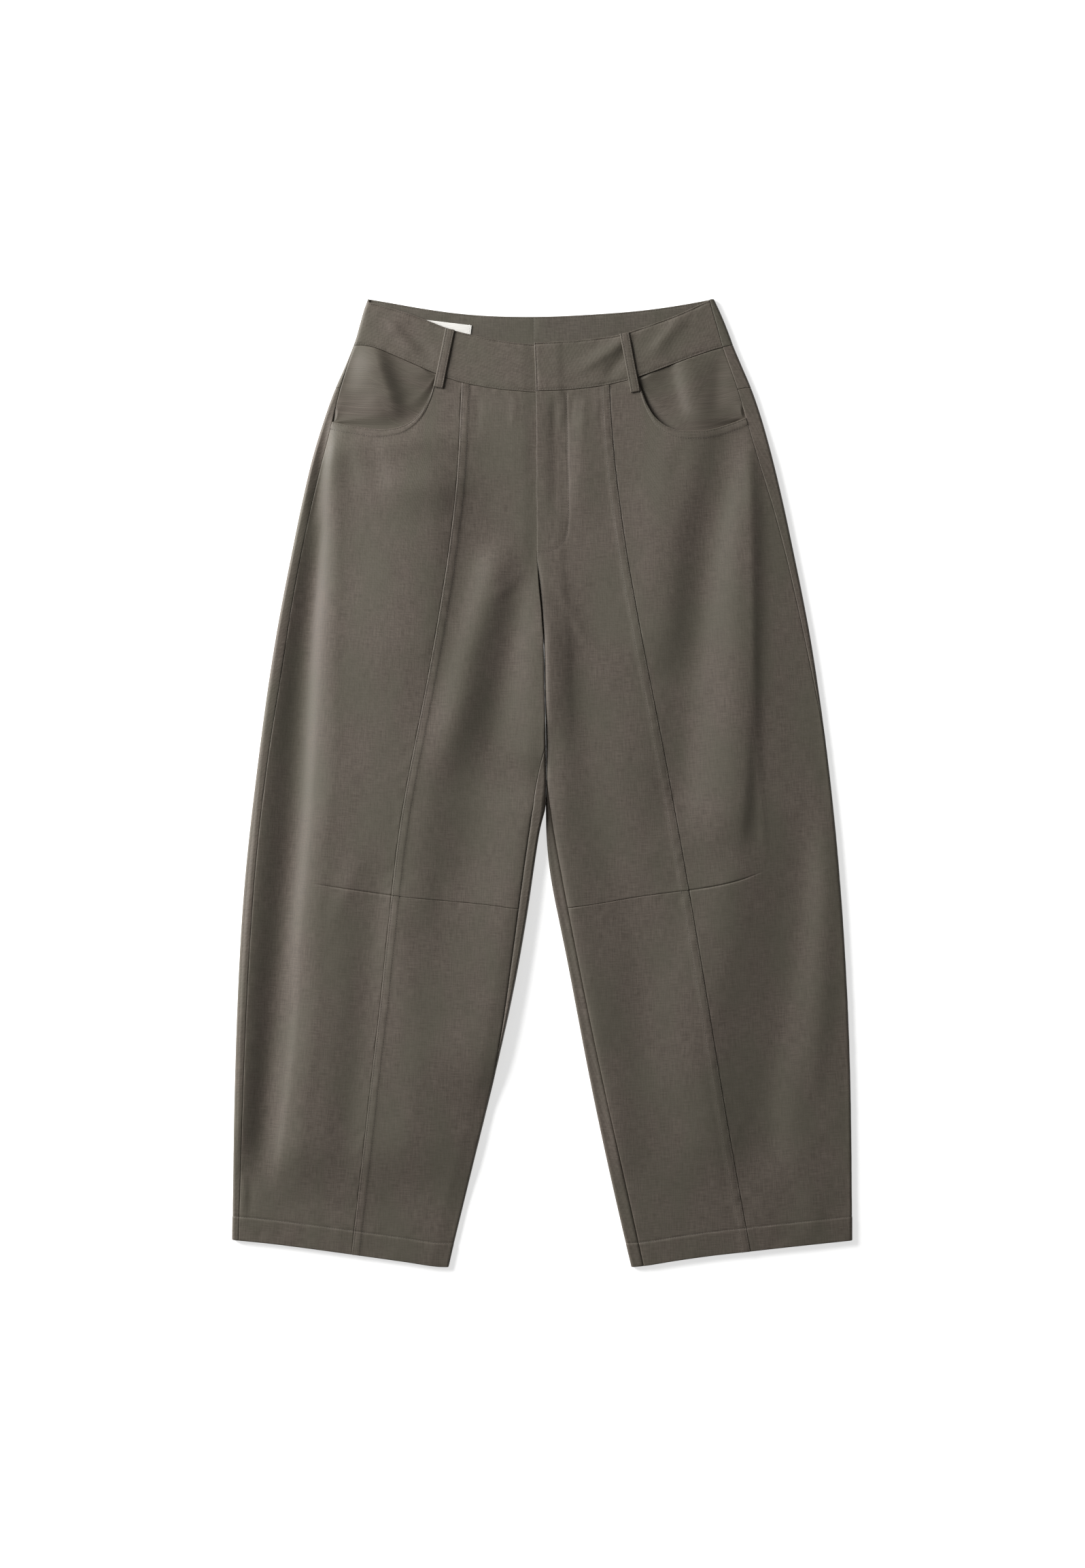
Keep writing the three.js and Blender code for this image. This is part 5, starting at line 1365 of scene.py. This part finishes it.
# Where the facing tucks in at the two ends of the mouth, and where it drops, loses its folds and runs
# deep on its way to the lip, as shares of its length and of its width as far as the lip
END_TUCK, END_TUCKED = 0.1, 0.02
DROP_START, DROP_END = 0.15, 0.85
FOLDS_END = 0.6
DEEP_START, DEEP_END = 0.78, 0.98


def pocket_facing(s, sizes):
    """Facing that shows in the pocket mouth, level at its seams and dropped under the mouth's edge."""
    near = front_side_edge(s, SEAM_GAP)
    mouth = even_path(s.pocket)
    corner_y = crossing(near, s.band_seam, BAND_SEAM_ABOUT[0]) - SEAM_GAP
    mouth_side_y, mouth_band_x = s.pocket[0][1], s.pocket[-1][0]
    t = np.linspace(0, 1, FACING_ROWS)[:, None]
    share = np.linspace(0, 1, FACING_COLUMNS)[None, :]
    past_corner = np.clip((t - FACING_CORNER) / (1 - FACING_CORNER), 0, 1)
    side_y = mix(mouth_side_y, corner_y, np.clip(t / FACING_CORNER, 0, 1))
    band_x = mix(float(near(corner_y)), mouth_band_x, past_corner)
    on_side = t < FACING_CORNER
    far_x = np.where(on_side, near(side_y), band_x)
    far_y = np.where(on_side, side_y, s.band_seam(band_x) - SEAM_GAP)
    lip, way = mouth.at(t), mouth.direction(t)
    edge_x = (
        lip[..., 0] + s.towards * (FACING_SETBACK * (1 - t)) + way[..., 1] * POCKET_UNDERLAP * s.towards)
    edge_y = np.minimum(
        lip[..., 1] - way[..., 0] * POCKET_UNDERLAP * s.towards, s.band_seam(edge_x) - 2 * SEAM_GAP)
    to_lip = np.hypot(far_x - lip[..., 0], far_y - lip[..., 1])
    lip_share = to_lip / (to_lip + POCKET_UNDERLAP)
    tucked_ends = np.maximum(smooth(END_TUCK, END_TUCKED, t), smooth(1 - END_TUCK, 1 - END_TUCKED, t))
    x, y = mix(far_x, edge_x, share), mix(far_y, edge_y, share)
    tucked = np.maximum(tucked_ends, smooth(DROP_START, DROP_END * lip_share, share))
    open_part = smooth(lip_share, FOLDS_END * lip_share, share) * (1 - tucked_ends)
    deep = smooth(DEEP_START * lip_share, DEEP_END * lip_share, share) * (1 - tucked_ends)
    drop = tucked * (in_mm(sizes.cloth) + POCKET_DROP) + MOUTH_DEPTH * deep
    skin = np.dstack([x, y, upper_height(s, x, y) + open_part * fold_height(FACING_FOLDS, x, y) - drop])
    span = runs(skin)
    relief = fall(span.near, FACING_FALL) + FACING_WAVE * soft_noise(x, y, FACING_WAVE_BUMP, 81) * open_part
    cloth_piece(
        f"pocket_facing_shown_{s.name}", f"pocket_facing_{s.name}", skin, span, FACING_CLOTH, relief,
        4 * s.towards)


LOOP_CLOTH = 1.4
LOOP_WIDTH = 10.4
LOOP_WAIST = 0.03
LOOP_LIFT = 0.5
LOOP_END_LIFT = 0.35
LOOP_PRESS = 0.35
LOOP_ARCH = 0.7
LOOP_ROW_STEP = 1.6
LOOP_COLUMN_STEP = 0.6
LOOP_FALL = 0.7
LOOP_TOP_FALL = 0.5
LOOP_ROW_DEPTH = 0.22
LOOP_WAVE = 0.12
LOOP_WAVE_BUMP = 8


def belt_loop(s):
    """Belt loop: a strip folded to 10 mm, stitched along both edges, standing off the band."""
    (top_x, top_y), (bottom_x, bottom_y) = s.loop
    length = math.hypot(top_x - bottom_x, top_y - bottom_y)
    across_x, across_y = -(bottom_y - top_y) / length, (bottom_x - top_x) / length
    t = stations(length, LOOP_ROW_STEP, LOOP_END, LOOP_END)[:, None] / length
    offset = stations(LOOP_WIDTH, LOOP_COLUMN_STEP, LOOP_EDGE, LOOP_EDGE)[None, :] - LOOP_WIDTH / 2
    lift = LOOP_LIFT * np.sin(np.pi * np.clip(t, 0, 1)) ** LOOP_ARCH
    level = FRONT_LEVEL + BAND_RAISE + LOOP_END_LIFT + LOOP_CLOTH - LOOP_PRESS
    waist = 1 - LOOP_WAIST * np.sin(np.pi * t)
    x = mix(top_x, bottom_x, t) + offset * across_x * waist
    y = mix(top_y, bottom_y, t) + offset * across_y * waist
    skin = np.dstack([x, y, level + lift + 0 * offset])
    span = runs(skin)
    relief = fall(span.near, LOOP_FALL) + fall(span.far, LOOP_FALL)
    relief = relief + fall(span.top, LOOP_TOP_FALL) + fall(span.bottom)
    relief += row_trough(span.near, y, LOOP_ROW, LOOP_ROW_DEPTH)
    relief += row_trough(span.far, y, LOOP_ROW, LOOP_ROW_DEPTH)
    relief += LOOP_WAVE * soft_noise(x, y, LOOP_WAVE_BUMP, 91)
    face = cloth_piece(
        f"loop_{s.name}", f"belt_loop_{s.name}", skin, span, LOOP_CLOTH, relief,
        0).face
    keep_lines(*lines_down_strip(face, span, LOOP_ROW))


LABEL_CLOTH = 0.6
LABEL_CORNER = (-76.6, 498.4)
LABEL_WIDTH = 58
LABEL_DEPTH = 22
LABEL_TURN = -0.119
LABEL_SETTLE = 0.2
LABEL_ROW_STEP = 1
LABEL_COLUMN_STEP = 1.2
LABEL_FALL = 0.2
LABEL_ROW_DEPTH = 0.12
LABEL_WAVE = 0.15
LABEL_WAVE_BUMP = 15


def label_piece(sizes):
    """Blank white label on the inside of the back waistband, partly under the front one."""
    depth = stations(LABEL_DEPTH, LABEL_ROW_STEP, LABEL_EDGE, LABEL_EDGE)[:, None]
    width = stations(LABEL_WIDTH, LABEL_COLUMN_STEP, LABEL_EDGE, LABEL_EDGE)[None, :]
    x = LABEL_CORNER[0] - width * math.cos(LABEL_TURN) + depth * math.sin(LABEL_TURN)
    y = LABEL_CORNER[1] - width * math.sin(LABEL_TURN) - depth * math.cos(LABEL_TURN)
    level = in_mm(sizes.band_cloth) + SEAM_GAP + LABEL_CLOTH + LABEL_SETTLE
    skin = np.dstack([x, y, level + LABEL_WAVE * soft_noise(x, y, LABEL_WAVE_BUMP, 95)])
    span = runs(skin)
    relief = sum(fall(edge, LABEL_FALL) for edge in (span.near, span.far, span.top, span.bottom))
    relief += row_trough(span.near, y, LABEL_ROW, LABEL_ROW_DEPTH)
    relief += row_trough(span.far, y, LABEL_ROW, LABEL_ROW_DEPTH)
    face = cloth_piece(
        "blank_label", "label", skin, span, LABEL_CLOTH, relief, math.degrees(LABEL_TURN),
        finish="satin_label_ribbon").face
    LABEL_LINES.extend(lines_down_strip(face, span, LABEL_ROW))


# Stitching. A stitch's ends sink into the cloth and its middle stands up, in radii of the thread.

THREAD_SINK = -1.4
THREAD_CROWN = 1.2
LEAST_SLANT = 0.4
STITCH_SHARE = 0.8


def stitch_tree():
    """Geometry Nodes that lay stitches along lines: a short thread on each step, its ends in the cloth."""
    tree = bpy.data.node_groups.new("Stitches along lines", "GeometryNodeTree")
    face = tree.interface
    face.new_socket("Geometry", in_out="INPUT", socket_type="NodeSocketGeometry")
    for name, kind in (
        ("Pitch", "NodeSocketFloat"), ("Stitch Length", "NodeSocketFloat"),
        ("Thread Diameter", "NodeSocketFloat"), ("Slant", "NodeSocketFloat"),
        ("Seed", "NodeSocketInt"), ("Thread", "NodeSocketMaterial"),
    ):
        face.new_socket(name, in_out="INPUT", socket_type=kind)
    face.new_socket("Geometry", in_out="OUTPUT", socket_type="NodeSocketGeometry")
    given = add_node(tree, "NodeGroupInput").outputs
    half = add_node(tree, "ShaderNodeMath", {"operation": "MULTIPLY"}, {
        "Value": given["Stitch Length"], "Value_001": 0.5}).outputs[0]
    back = add_node(tree, "ShaderNodeMath", {"operation": "MULTIPLY"}, {
        "Value": half, "Value_001": -1.0}).outputs[0]
    radius = add_node(tree, "ShaderNodeMath", {"operation": "MULTIPLY"}, {
        "Value": given["Thread Diameter"], "Value_001": 0.5}).outputs[0]
    sunk = add_node(tree, "ShaderNodeMath", {"operation": "MULTIPLY"}, {
        "Value": radius, "Value_001": THREAD_SINK}).outputs[0]
    crown = add_node(tree, "ShaderNodeMath", {"operation": "MULTIPLY"}, {
        "Value": radius, "Value_001": THREAD_CROWN}).outputs[0]
    start = add_node(tree, "ShaderNodeCombineXYZ", None, {"X": back, "Z": sunk}).outputs[0]
    middle = add_node(tree, "ShaderNodeCombineXYZ", None, {"Z": crown}).outputs[0]
    end = add_node(tree, "ShaderNodeCombineXYZ", None, {"X": half, "Z": sunk}).outputs[0]
    path = add_node(tree, "GeometryNodeCurveQuadraticBezier", None, {
        "Resolution": 4, "Start": start, "Middle": middle, "End": end}).outputs[0]
    round_thread = add_node(tree, "GeometryNodeCurvePrimitiveCircle", None, {
        "Resolution": 6, "Radius": radius}).outputs["Curve"]
    thread = add_node(tree, "GeometryNodeCurveToMesh", None, {
        "Curve": path, "Profile Curve": round_thread, "Fill Caps": True}).outputs[0]
    lines = add_node(tree, "GeometryNodeMeshToCurve", None, {"Mesh": given["Geometry"]}).outputs[0]
    places = add_node(tree, "GeometryNodeCurveToPoints", {"mode": "LENGTH"}, {
        "Curve": lines, "Length": given["Pitch"]}).outputs
    along = add_node(tree, "FunctionNodeAxesToRotation", {"primary_axis": "X", "secondary_axis": "Z"}, {
        "Primary Axis": places["Tangent"], "Secondary Axis": (0, 0, 1)}).outputs[0]
    least = add_node(tree, "ShaderNodeMath", {"operation": "MULTIPLY"}, {
        "Value": given["Slant"], "Value_001": LEAST_SLANT}).outputs[0]
    lean = add_node(tree, "FunctionNodeRandomValue", {"data_type": "FLOAT"}, {
        "Min_001": least, "Max_001": given["Slant"], "Seed": given["Seed"]}).outputs[1]
    leaning = add_node(tree, "FunctionNodeEulerToRotation", None, {
        "Euler": add_node(tree, "ShaderNodeCombineXYZ", None, {"Z": lean}).outputs[0]}).outputs[0]
    turned_by = add_node(tree, "FunctionNodeRotateRotation", {"rotation_space": "LOCAL"}, {
        "Rotation": along, "Rotate By": leaning}).outputs[0]
    laid = add_node(tree, "GeometryNodeInstanceOnPoints", None, {
        "Points": places["Points"], "Instance": thread, "Rotation": turned_by}).outputs[0]
    solid = add_node(tree, "GeometryNodeRealizeInstances", None, {"Geometry": laid}).outputs[0]
    rounded = add_node(tree, "GeometryNodeSetShadeSmooth", None, {"Geometry": solid}).outputs[0]
    finished = add_node(tree, "GeometryNodeSetMaterial", None, {
        "Geometry": rounded, "Material": given["Thread"]}).outputs[0]
    tree.links.new(finished, tree.nodes.new("NodeGroupOutput").inputs[0])
    return tree


def sew(name, lines, thread, sizes, seed):
    """Lays stitches along the kept lines, as one plain mesh."""
    if not lines:
        raise RuntimeError("make the panels before their stitching")
    points = np.concatenate(lines) * MM
    starts = np.cumsum([0] + [len(line) for line in lines])
    edges = [(k, k + 1) for a, b in zip(starts[:-1], starts[1:]) for k in range(a, b - 1)]
    mesh = bpy.data.meshes.new(name)
    mesh.from_pydata(points.tolist(), edges, [])
    guide = bpy.data.objects.new(name + "_guide", mesh)
    bpy.context.scene.collection.objects.link(guide)
    tree = stitch_tree()
    modifier = guide.modifiers.new("Stitches", "NODES")
    modifier.node_group = tree
    values = {
        "Pitch": sizes.stitch_pitch,
        "Stitch Length": STITCH_SHARE * sizes.stitch_pitch, "Thread Diameter": sizes.thread,
        "Slant": sizes.stitch_slant, "Seed": seed, "Thread": thread,
    }
    for item in tree.interface.items_tree:
        if item.in_out == "INPUT" and item.name in values:
            modifier[item.identifier] = values[item.name]
    evaluated = guide.evaluated_get(bpy.context.evaluated_depsgraph_get())
    stitched = bpy.data.meshes.new_from_object(evaluated)
    stitched.name = name
    piece = bpy.data.objects.new(name, stitched)
    bpy.context.scene.collection.objects.link(piece)
    bpy.data.objects.remove(guide)
    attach(piece, "root")


# What a user would change

class TrouserSizes(bpy.types.PropertyGroup):
    """Sizes of the cloth and its stitching."""

    cloth: bpy.props.FloatProperty(
        name="Cloth", description="Thickness of the suiting with its seam allowance",
        default=0.0014, min=0.0005, max=0.003, subtype="DISTANCE", unit="LENGTH", precision=5)
    band_cloth: bpy.props.FloatProperty(
        name="Waistband", description="Thickness of the faced waistband",
        default=0.0022, min=0.001, max=0.003, subtype="DISTANCE", unit="LENGTH", precision=5)
    stitch_pitch: bpy.props.FloatProperty(
        name="Stitch Pitch", description="Length of one stitch with its gap",
        default=0.0027, min=0.0015, max=0.006, subtype="DISTANCE", unit="LENGTH", precision=5)
    thread: bpy.props.FloatProperty(
        name="Thread", description="Diameter of the sewing thread",
        default=0.00055, min=0.0002, max=0.001, subtype="DISTANCE", unit="LENGTH", precision=5)
    stitch_slant: bpy.props.FloatProperty(
        name="Stitch Slant", description="How far a stitch may lean from its line",
        default=0.14, min=0, max=0.5, subtype="ANGLE", unit="ROTATION")
    pucker: bpy.props.FloatProperty(
        name="Pucker", description="Height of the ripples along a seam",
        default=0.00022, min=0, max=0.001, subtype="DISTANCE", unit="LENGTH", precision=5)
    unevenness: bpy.props.FloatProperty(
        name="Unevenness", description="How far the flat cloth is from level",
        default=0.0004, min=0, max=0.002, subtype="DISTANCE", unit="LENGTH", precision=5)


class TrouserLooks(bpy.types.PropertyGroup):
    """Colours, as sRGB hex values."""

    suiting_light: bpy.props.StringProperty(
        name="Suiting Light", description="Colour of the lighter yarns", default="#625950")
    suiting_dark: bpy.props.StringProperty(
        name="Suiting Dark", description="Colour of the darker yarns", default="#4e463e")
    suiting_cast: bpy.props.StringProperty(
        name="Suiting Cast", description="Olive tone of the clouds in the cloth", default="#525043")
    # Colours of the inside face, darker than the suiting's: painted shade on the inside of the back
    # waistband.
    inside_shaded_light: bpy.props.StringProperty(
        name="Inside Shaded Light", description="Lighter yarns on the inside face", default="#5b544b")
    inside_shaded_dark: bpy.props.StringProperty(
        name="Inside Shaded Dark", description="Darker yarns on the inside face", default="#48423a")
    # The matched thread is darker than the cloth: partly painted shade of the stitch holes and seam lines.
    thread: bpy.props.StringProperty(
        name="Thread", description="Colour of the matched thread", default="#36312b")
    label: bpy.props.StringProperty(
        name="Label", description="Colour of the blank label", default="#f0eee9")
    label_shade: bpy.props.StringProperty(
        name="Label Shade", description="Colour between the label's threads", default="#d6d3cc")
    floor: bpy.props.StringProperty(
        name="Floor", description="Colour of the paper floor", default="#f4f4f3")


class StageSettings(bpy.types.PropertyGroup):
    """Light and camera of the stage."""

    key_watts: bpy.props.FloatProperty(
        name="Key Light", description="Power of the large soft light at the upper left",
        default=212, min=0, max=2000, subtype="POWER", unit="POWER")
    key_elevation: bpy.props.FloatProperty(
        name="Key Elevation", description="Height of the key light above the floor",
        default=math.radians(24), min=0.1, max=1.5, subtype="ANGLE", unit="ROTATION")
    key_azimuth: bpy.props.FloatProperty(
        name="Key Direction", description="Turn of the key light from straight left towards the waist",
        default=math.radians(30), min=-1.5, max=1.5, subtype="ANGLE", unit="ROTATION")
    key_distance: bpy.props.FloatProperty(
        name="Key Distance", description="Distance of the key light from the middle of the trousers",
        default=3.1, min=0.5, max=10, subtype="DISTANCE", unit="LENGTH")
    key_size: bpy.props.FloatProperty(
        name="Key Size", description="Width and height of the key light",
        default=1.8, min=0.1, max=5, subtype="DISTANCE", unit="LENGTH")
    fill: bpy.props.FloatProperty(
        name="Fill", description="Strength of the even light from all round", default=0.15, min=0, max=5)
    lens: bpy.props.FloatProperty(
        name="Lens", description="Focal length of the camera, in millimetres", default=85, min=20, max=300)
    frame_height: bpy.props.FloatProperty(
        name="Frame Height", description="Height of the floor that the picture takes in",
        default=1.70644, min=0.5, max=5, subtype="DISTANCE", unit="LENGTH")


class TROUSERS_OT_backs(bpy.types.Operator):
    """Make the backs of the legs and the yokes"""

    bl_idname = "trousers.backs"
    bl_label = "Leg Backs and Yokes"

    def execute(self, context):
        for s in SIDES:
            back_leg(s, context.scene.trouser_sizes)
            back_yoke(s, context.scene.trouser_sizes)
        return {"FINISHED"}


class TROUSERS_OT_fronts(bpy.types.Operator):
    """Make the side front and centre front panels"""

    bl_idname = "trousers.fronts"
    bl_label = "Front Panels"

    def execute(self, context):
        for s in SIDES:
            front_side(s, context.scene.trouser_sizes)
            front_centre(s, True, context.scene.trouser_sizes)
            front_centre(s, False, context.scene.trouser_sizes)
        return {"FINISHED"}


class TROUSERS_OT_waistband(bpy.types.Operator):
    """Make the four quarters of the shaped waistband"""

    bl_idname = "trousers.waistband"
    bl_label = "Waistband"

    def execute(self, context):
        for s in SIDES:
            back_band(s, context.scene.trouser_sizes)
            front_band(s, context.scene.trouser_sizes)
        return {"FINISHED"}


class TROUSERS_OT_pockets(bpy.types.Operator):
    """Make the facings that show in the pocket mouths"""

    bl_idname = "trousers.pockets"
    bl_label = "Pocket Facings"

    def execute(self, context):
        for s in SIDES:
            pocket_facing(s, context.scene.trouser_sizes)
        return {"FINISHED"}


class TROUSERS_OT_loops(bpy.types.Operator):
    """Make the two front belt loops"""

    bl_idname = "trousers.loops"
    bl_label = "Belt Loops"

    def execute(self, context):
        for s in SIDES:
            belt_loop(s)
        return {"FINISHED"}


class TROUSERS_OT_label(bpy.types.Operator):
    """Make the blank label inside the back waistband"""

    bl_idname = "trousers.label"
    bl_label = "Blank Label"

    def execute(self, context):
        label_piece(context.scene.trouser_sizes)
        return {"FINISHED"}


class TROUSERS_OT_stitching(bpy.types.Operator):
    """Lay the stitches along every sewn line"""

    bl_idname = "trousers.stitching"
    bl_label = "Stitching"

    def execute(self, context):
        sizes = context.scene.trouser_sizes
        right = [line for line in SEWN_LINES if line[:, 0].mean() < 0]
        left = [line for line in SEWN_LINES if line[:, 0].mean() >= 0]
        for name, lines, slot, thread, seed in (
            ("stitching_right", right, "suiting", "matched_sewing_thread", 3),
            ("stitching_left", left, "suiting", "matched_sewing_thread", 4),
            ("stitching_label", LABEL_LINES, "label", "white_label_thread", 5),
        ):
            sew(name, lines, finish_named(thread), sizes, seed)
        return {"FINISHED"}


# The floor and the camera, in metres, and the camera's sensor in millimetres
FLOOR_HALF = 4.0
FLOOR_Z = -0.0003
CAMERA_CENTRE = (0.0004, -0.0011)
CAMERA_REACH = 50
SENSOR_WIDTH = 36


class TROUSERS_OT_stage(bpy.types.Operator):
    """Make the paper floor, the lights and the camera"""

    bl_idname = "trousers.stage"
    bl_label = "Stage"

    def execute(self, context):
        scene, stage = context.scene, context.scene.trouser_stage
        mesh = bpy.data.meshes.new("paper_floor")
        mesh.from_pydata(
            [(x * FLOOR_HALF, y * FLOOR_HALF, FLOOR_Z) for x, y in ((-1, -1), (1, -1), (1, 1), (-1, 1))],
            [], [(0, 1, 2, 3)])
        mesh.materials.append(finish_named("white_paper_floor"))
        floor = bpy.data.objects.new("paper_floor", mesh)
        scene.collection.objects.link(floor)

        flat = stage.key_distance * math.cos(stage.key_elevation)
        light = bpy.data.lights.new("key_softbox", "AREA")
        light.shape = "SQUARE"
        light.size = stage.key_size
        light.energy = stage.key_watts
        key = bpy.data.objects.new("key_softbox", light)
        key.location = (
            -flat * math.cos(stage.key_azimuth), flat * math.sin(stage.key_azimuth),
            stage.key_distance * math.sin(stage.key_elevation))
        key.rotation_euler = (-key.location).to_track_quat("-Z", "Y").to_euler()
        scene.collection.objects.link(key)

        world = bpy.data.worlds.new("studio_fill")
        world.use_nodes = True
        background = world.node_tree.nodes["Background"]
        background.inputs["Color"].default_value = (1, 1, 1, 1)
        background.inputs["Strength"].default_value = stage.fill
        scene.world = world
        scene.view_settings.view_transform = "Standard"

        lens = bpy.data.cameras.new("plan_camera")
        lens.lens = stage.lens
        lens.sensor_width = SENSOR_WIDTH
        lens.clip_end = CAMERA_REACH
        camera = bpy.data.objects.new("plan_camera", lens)
        height = stage.frame_height / 2 * stage.lens / (lens.sensor_width / 2)
        camera.location = (*CAMERA_CENTRE, height + FRONT_LEVEL * MM)
        scene.collection.objects.link(camera)
        scene.camera = camera
        return {"FINISHED"}


class TROUSERS_PT_panel(bpy.types.Panel):
    """Lists the sizes, the looks and the steps"""

    bl_idname = "TROUSERS_PT_panel"
    bl_label = "Barrel Leg Trousers"
    bl_space_type = "VIEW_3D"
    bl_region_type = "UI"
    bl_category = "Trousers"

    def draw(self, context):
        scene = context.scene
        for group in (scene.trouser_sizes, scene.trouser_looks, scene.trouser_stage):
            box = self.layout.box()
            for name in group.bl_rna.properties.keys():
                if name not in {"rna_type", "name"}:
                    box.prop(group, name)
        for step in STEPS:
            self.layout.operator(step.bl_idname)


STEPS = (
    TROUSERS_OT_stage, TROUSERS_OT_backs, TROUSERS_OT_waistband, TROUSERS_OT_pockets, TROUSERS_OT_fronts,
    TROUSERS_OT_loops, TROUSERS_OT_label, TROUSERS_OT_stitching,
)
CLASSES = (TrouserSizes, TrouserLooks, StageSettings, *STEPS, TROUSERS_PT_panel)


def register():
    for cls in CLASSES:
        bpy.utils.register_class(cls)
    bpy.types.Scene.trouser_sizes = bpy.props.PointerProperty(type=TrouserSizes)
    bpy.types.Scene.trouser_looks = bpy.props.PointerProperty(type=TrouserLooks)
    bpy.types.Scene.trouser_stage = bpy.props.PointerProperty(type=StageSettings)


def unregister():
    del bpy.types.Scene.trouser_sizes
    del bpy.types.Scene.trouser_looks
    del bpy.types.Scene.trouser_stage
    for cls in reversed(CLASSES):
        bpy.utils.unregister_class(cls)


def main():
    for left_over in [o for o in bpy.context.scene.objects if o.type in {"LIGHT", "CAMERA"}]:
        bpy.data.objects.remove(left_over)
    register()
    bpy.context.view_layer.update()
    bpy.ops.trousers.stage()
    bpy.ops.trousers.backs()
    bpy.ops.trousers.waistband()
    bpy.ops.trousers.pockets()
    bpy.ops.trousers.fronts()
    bpy.ops.trousers.loops()
    bpy.ops.trousers.label()
    bpy.ops.trousers.stitching()


if __name__ == "__main__":
    main()
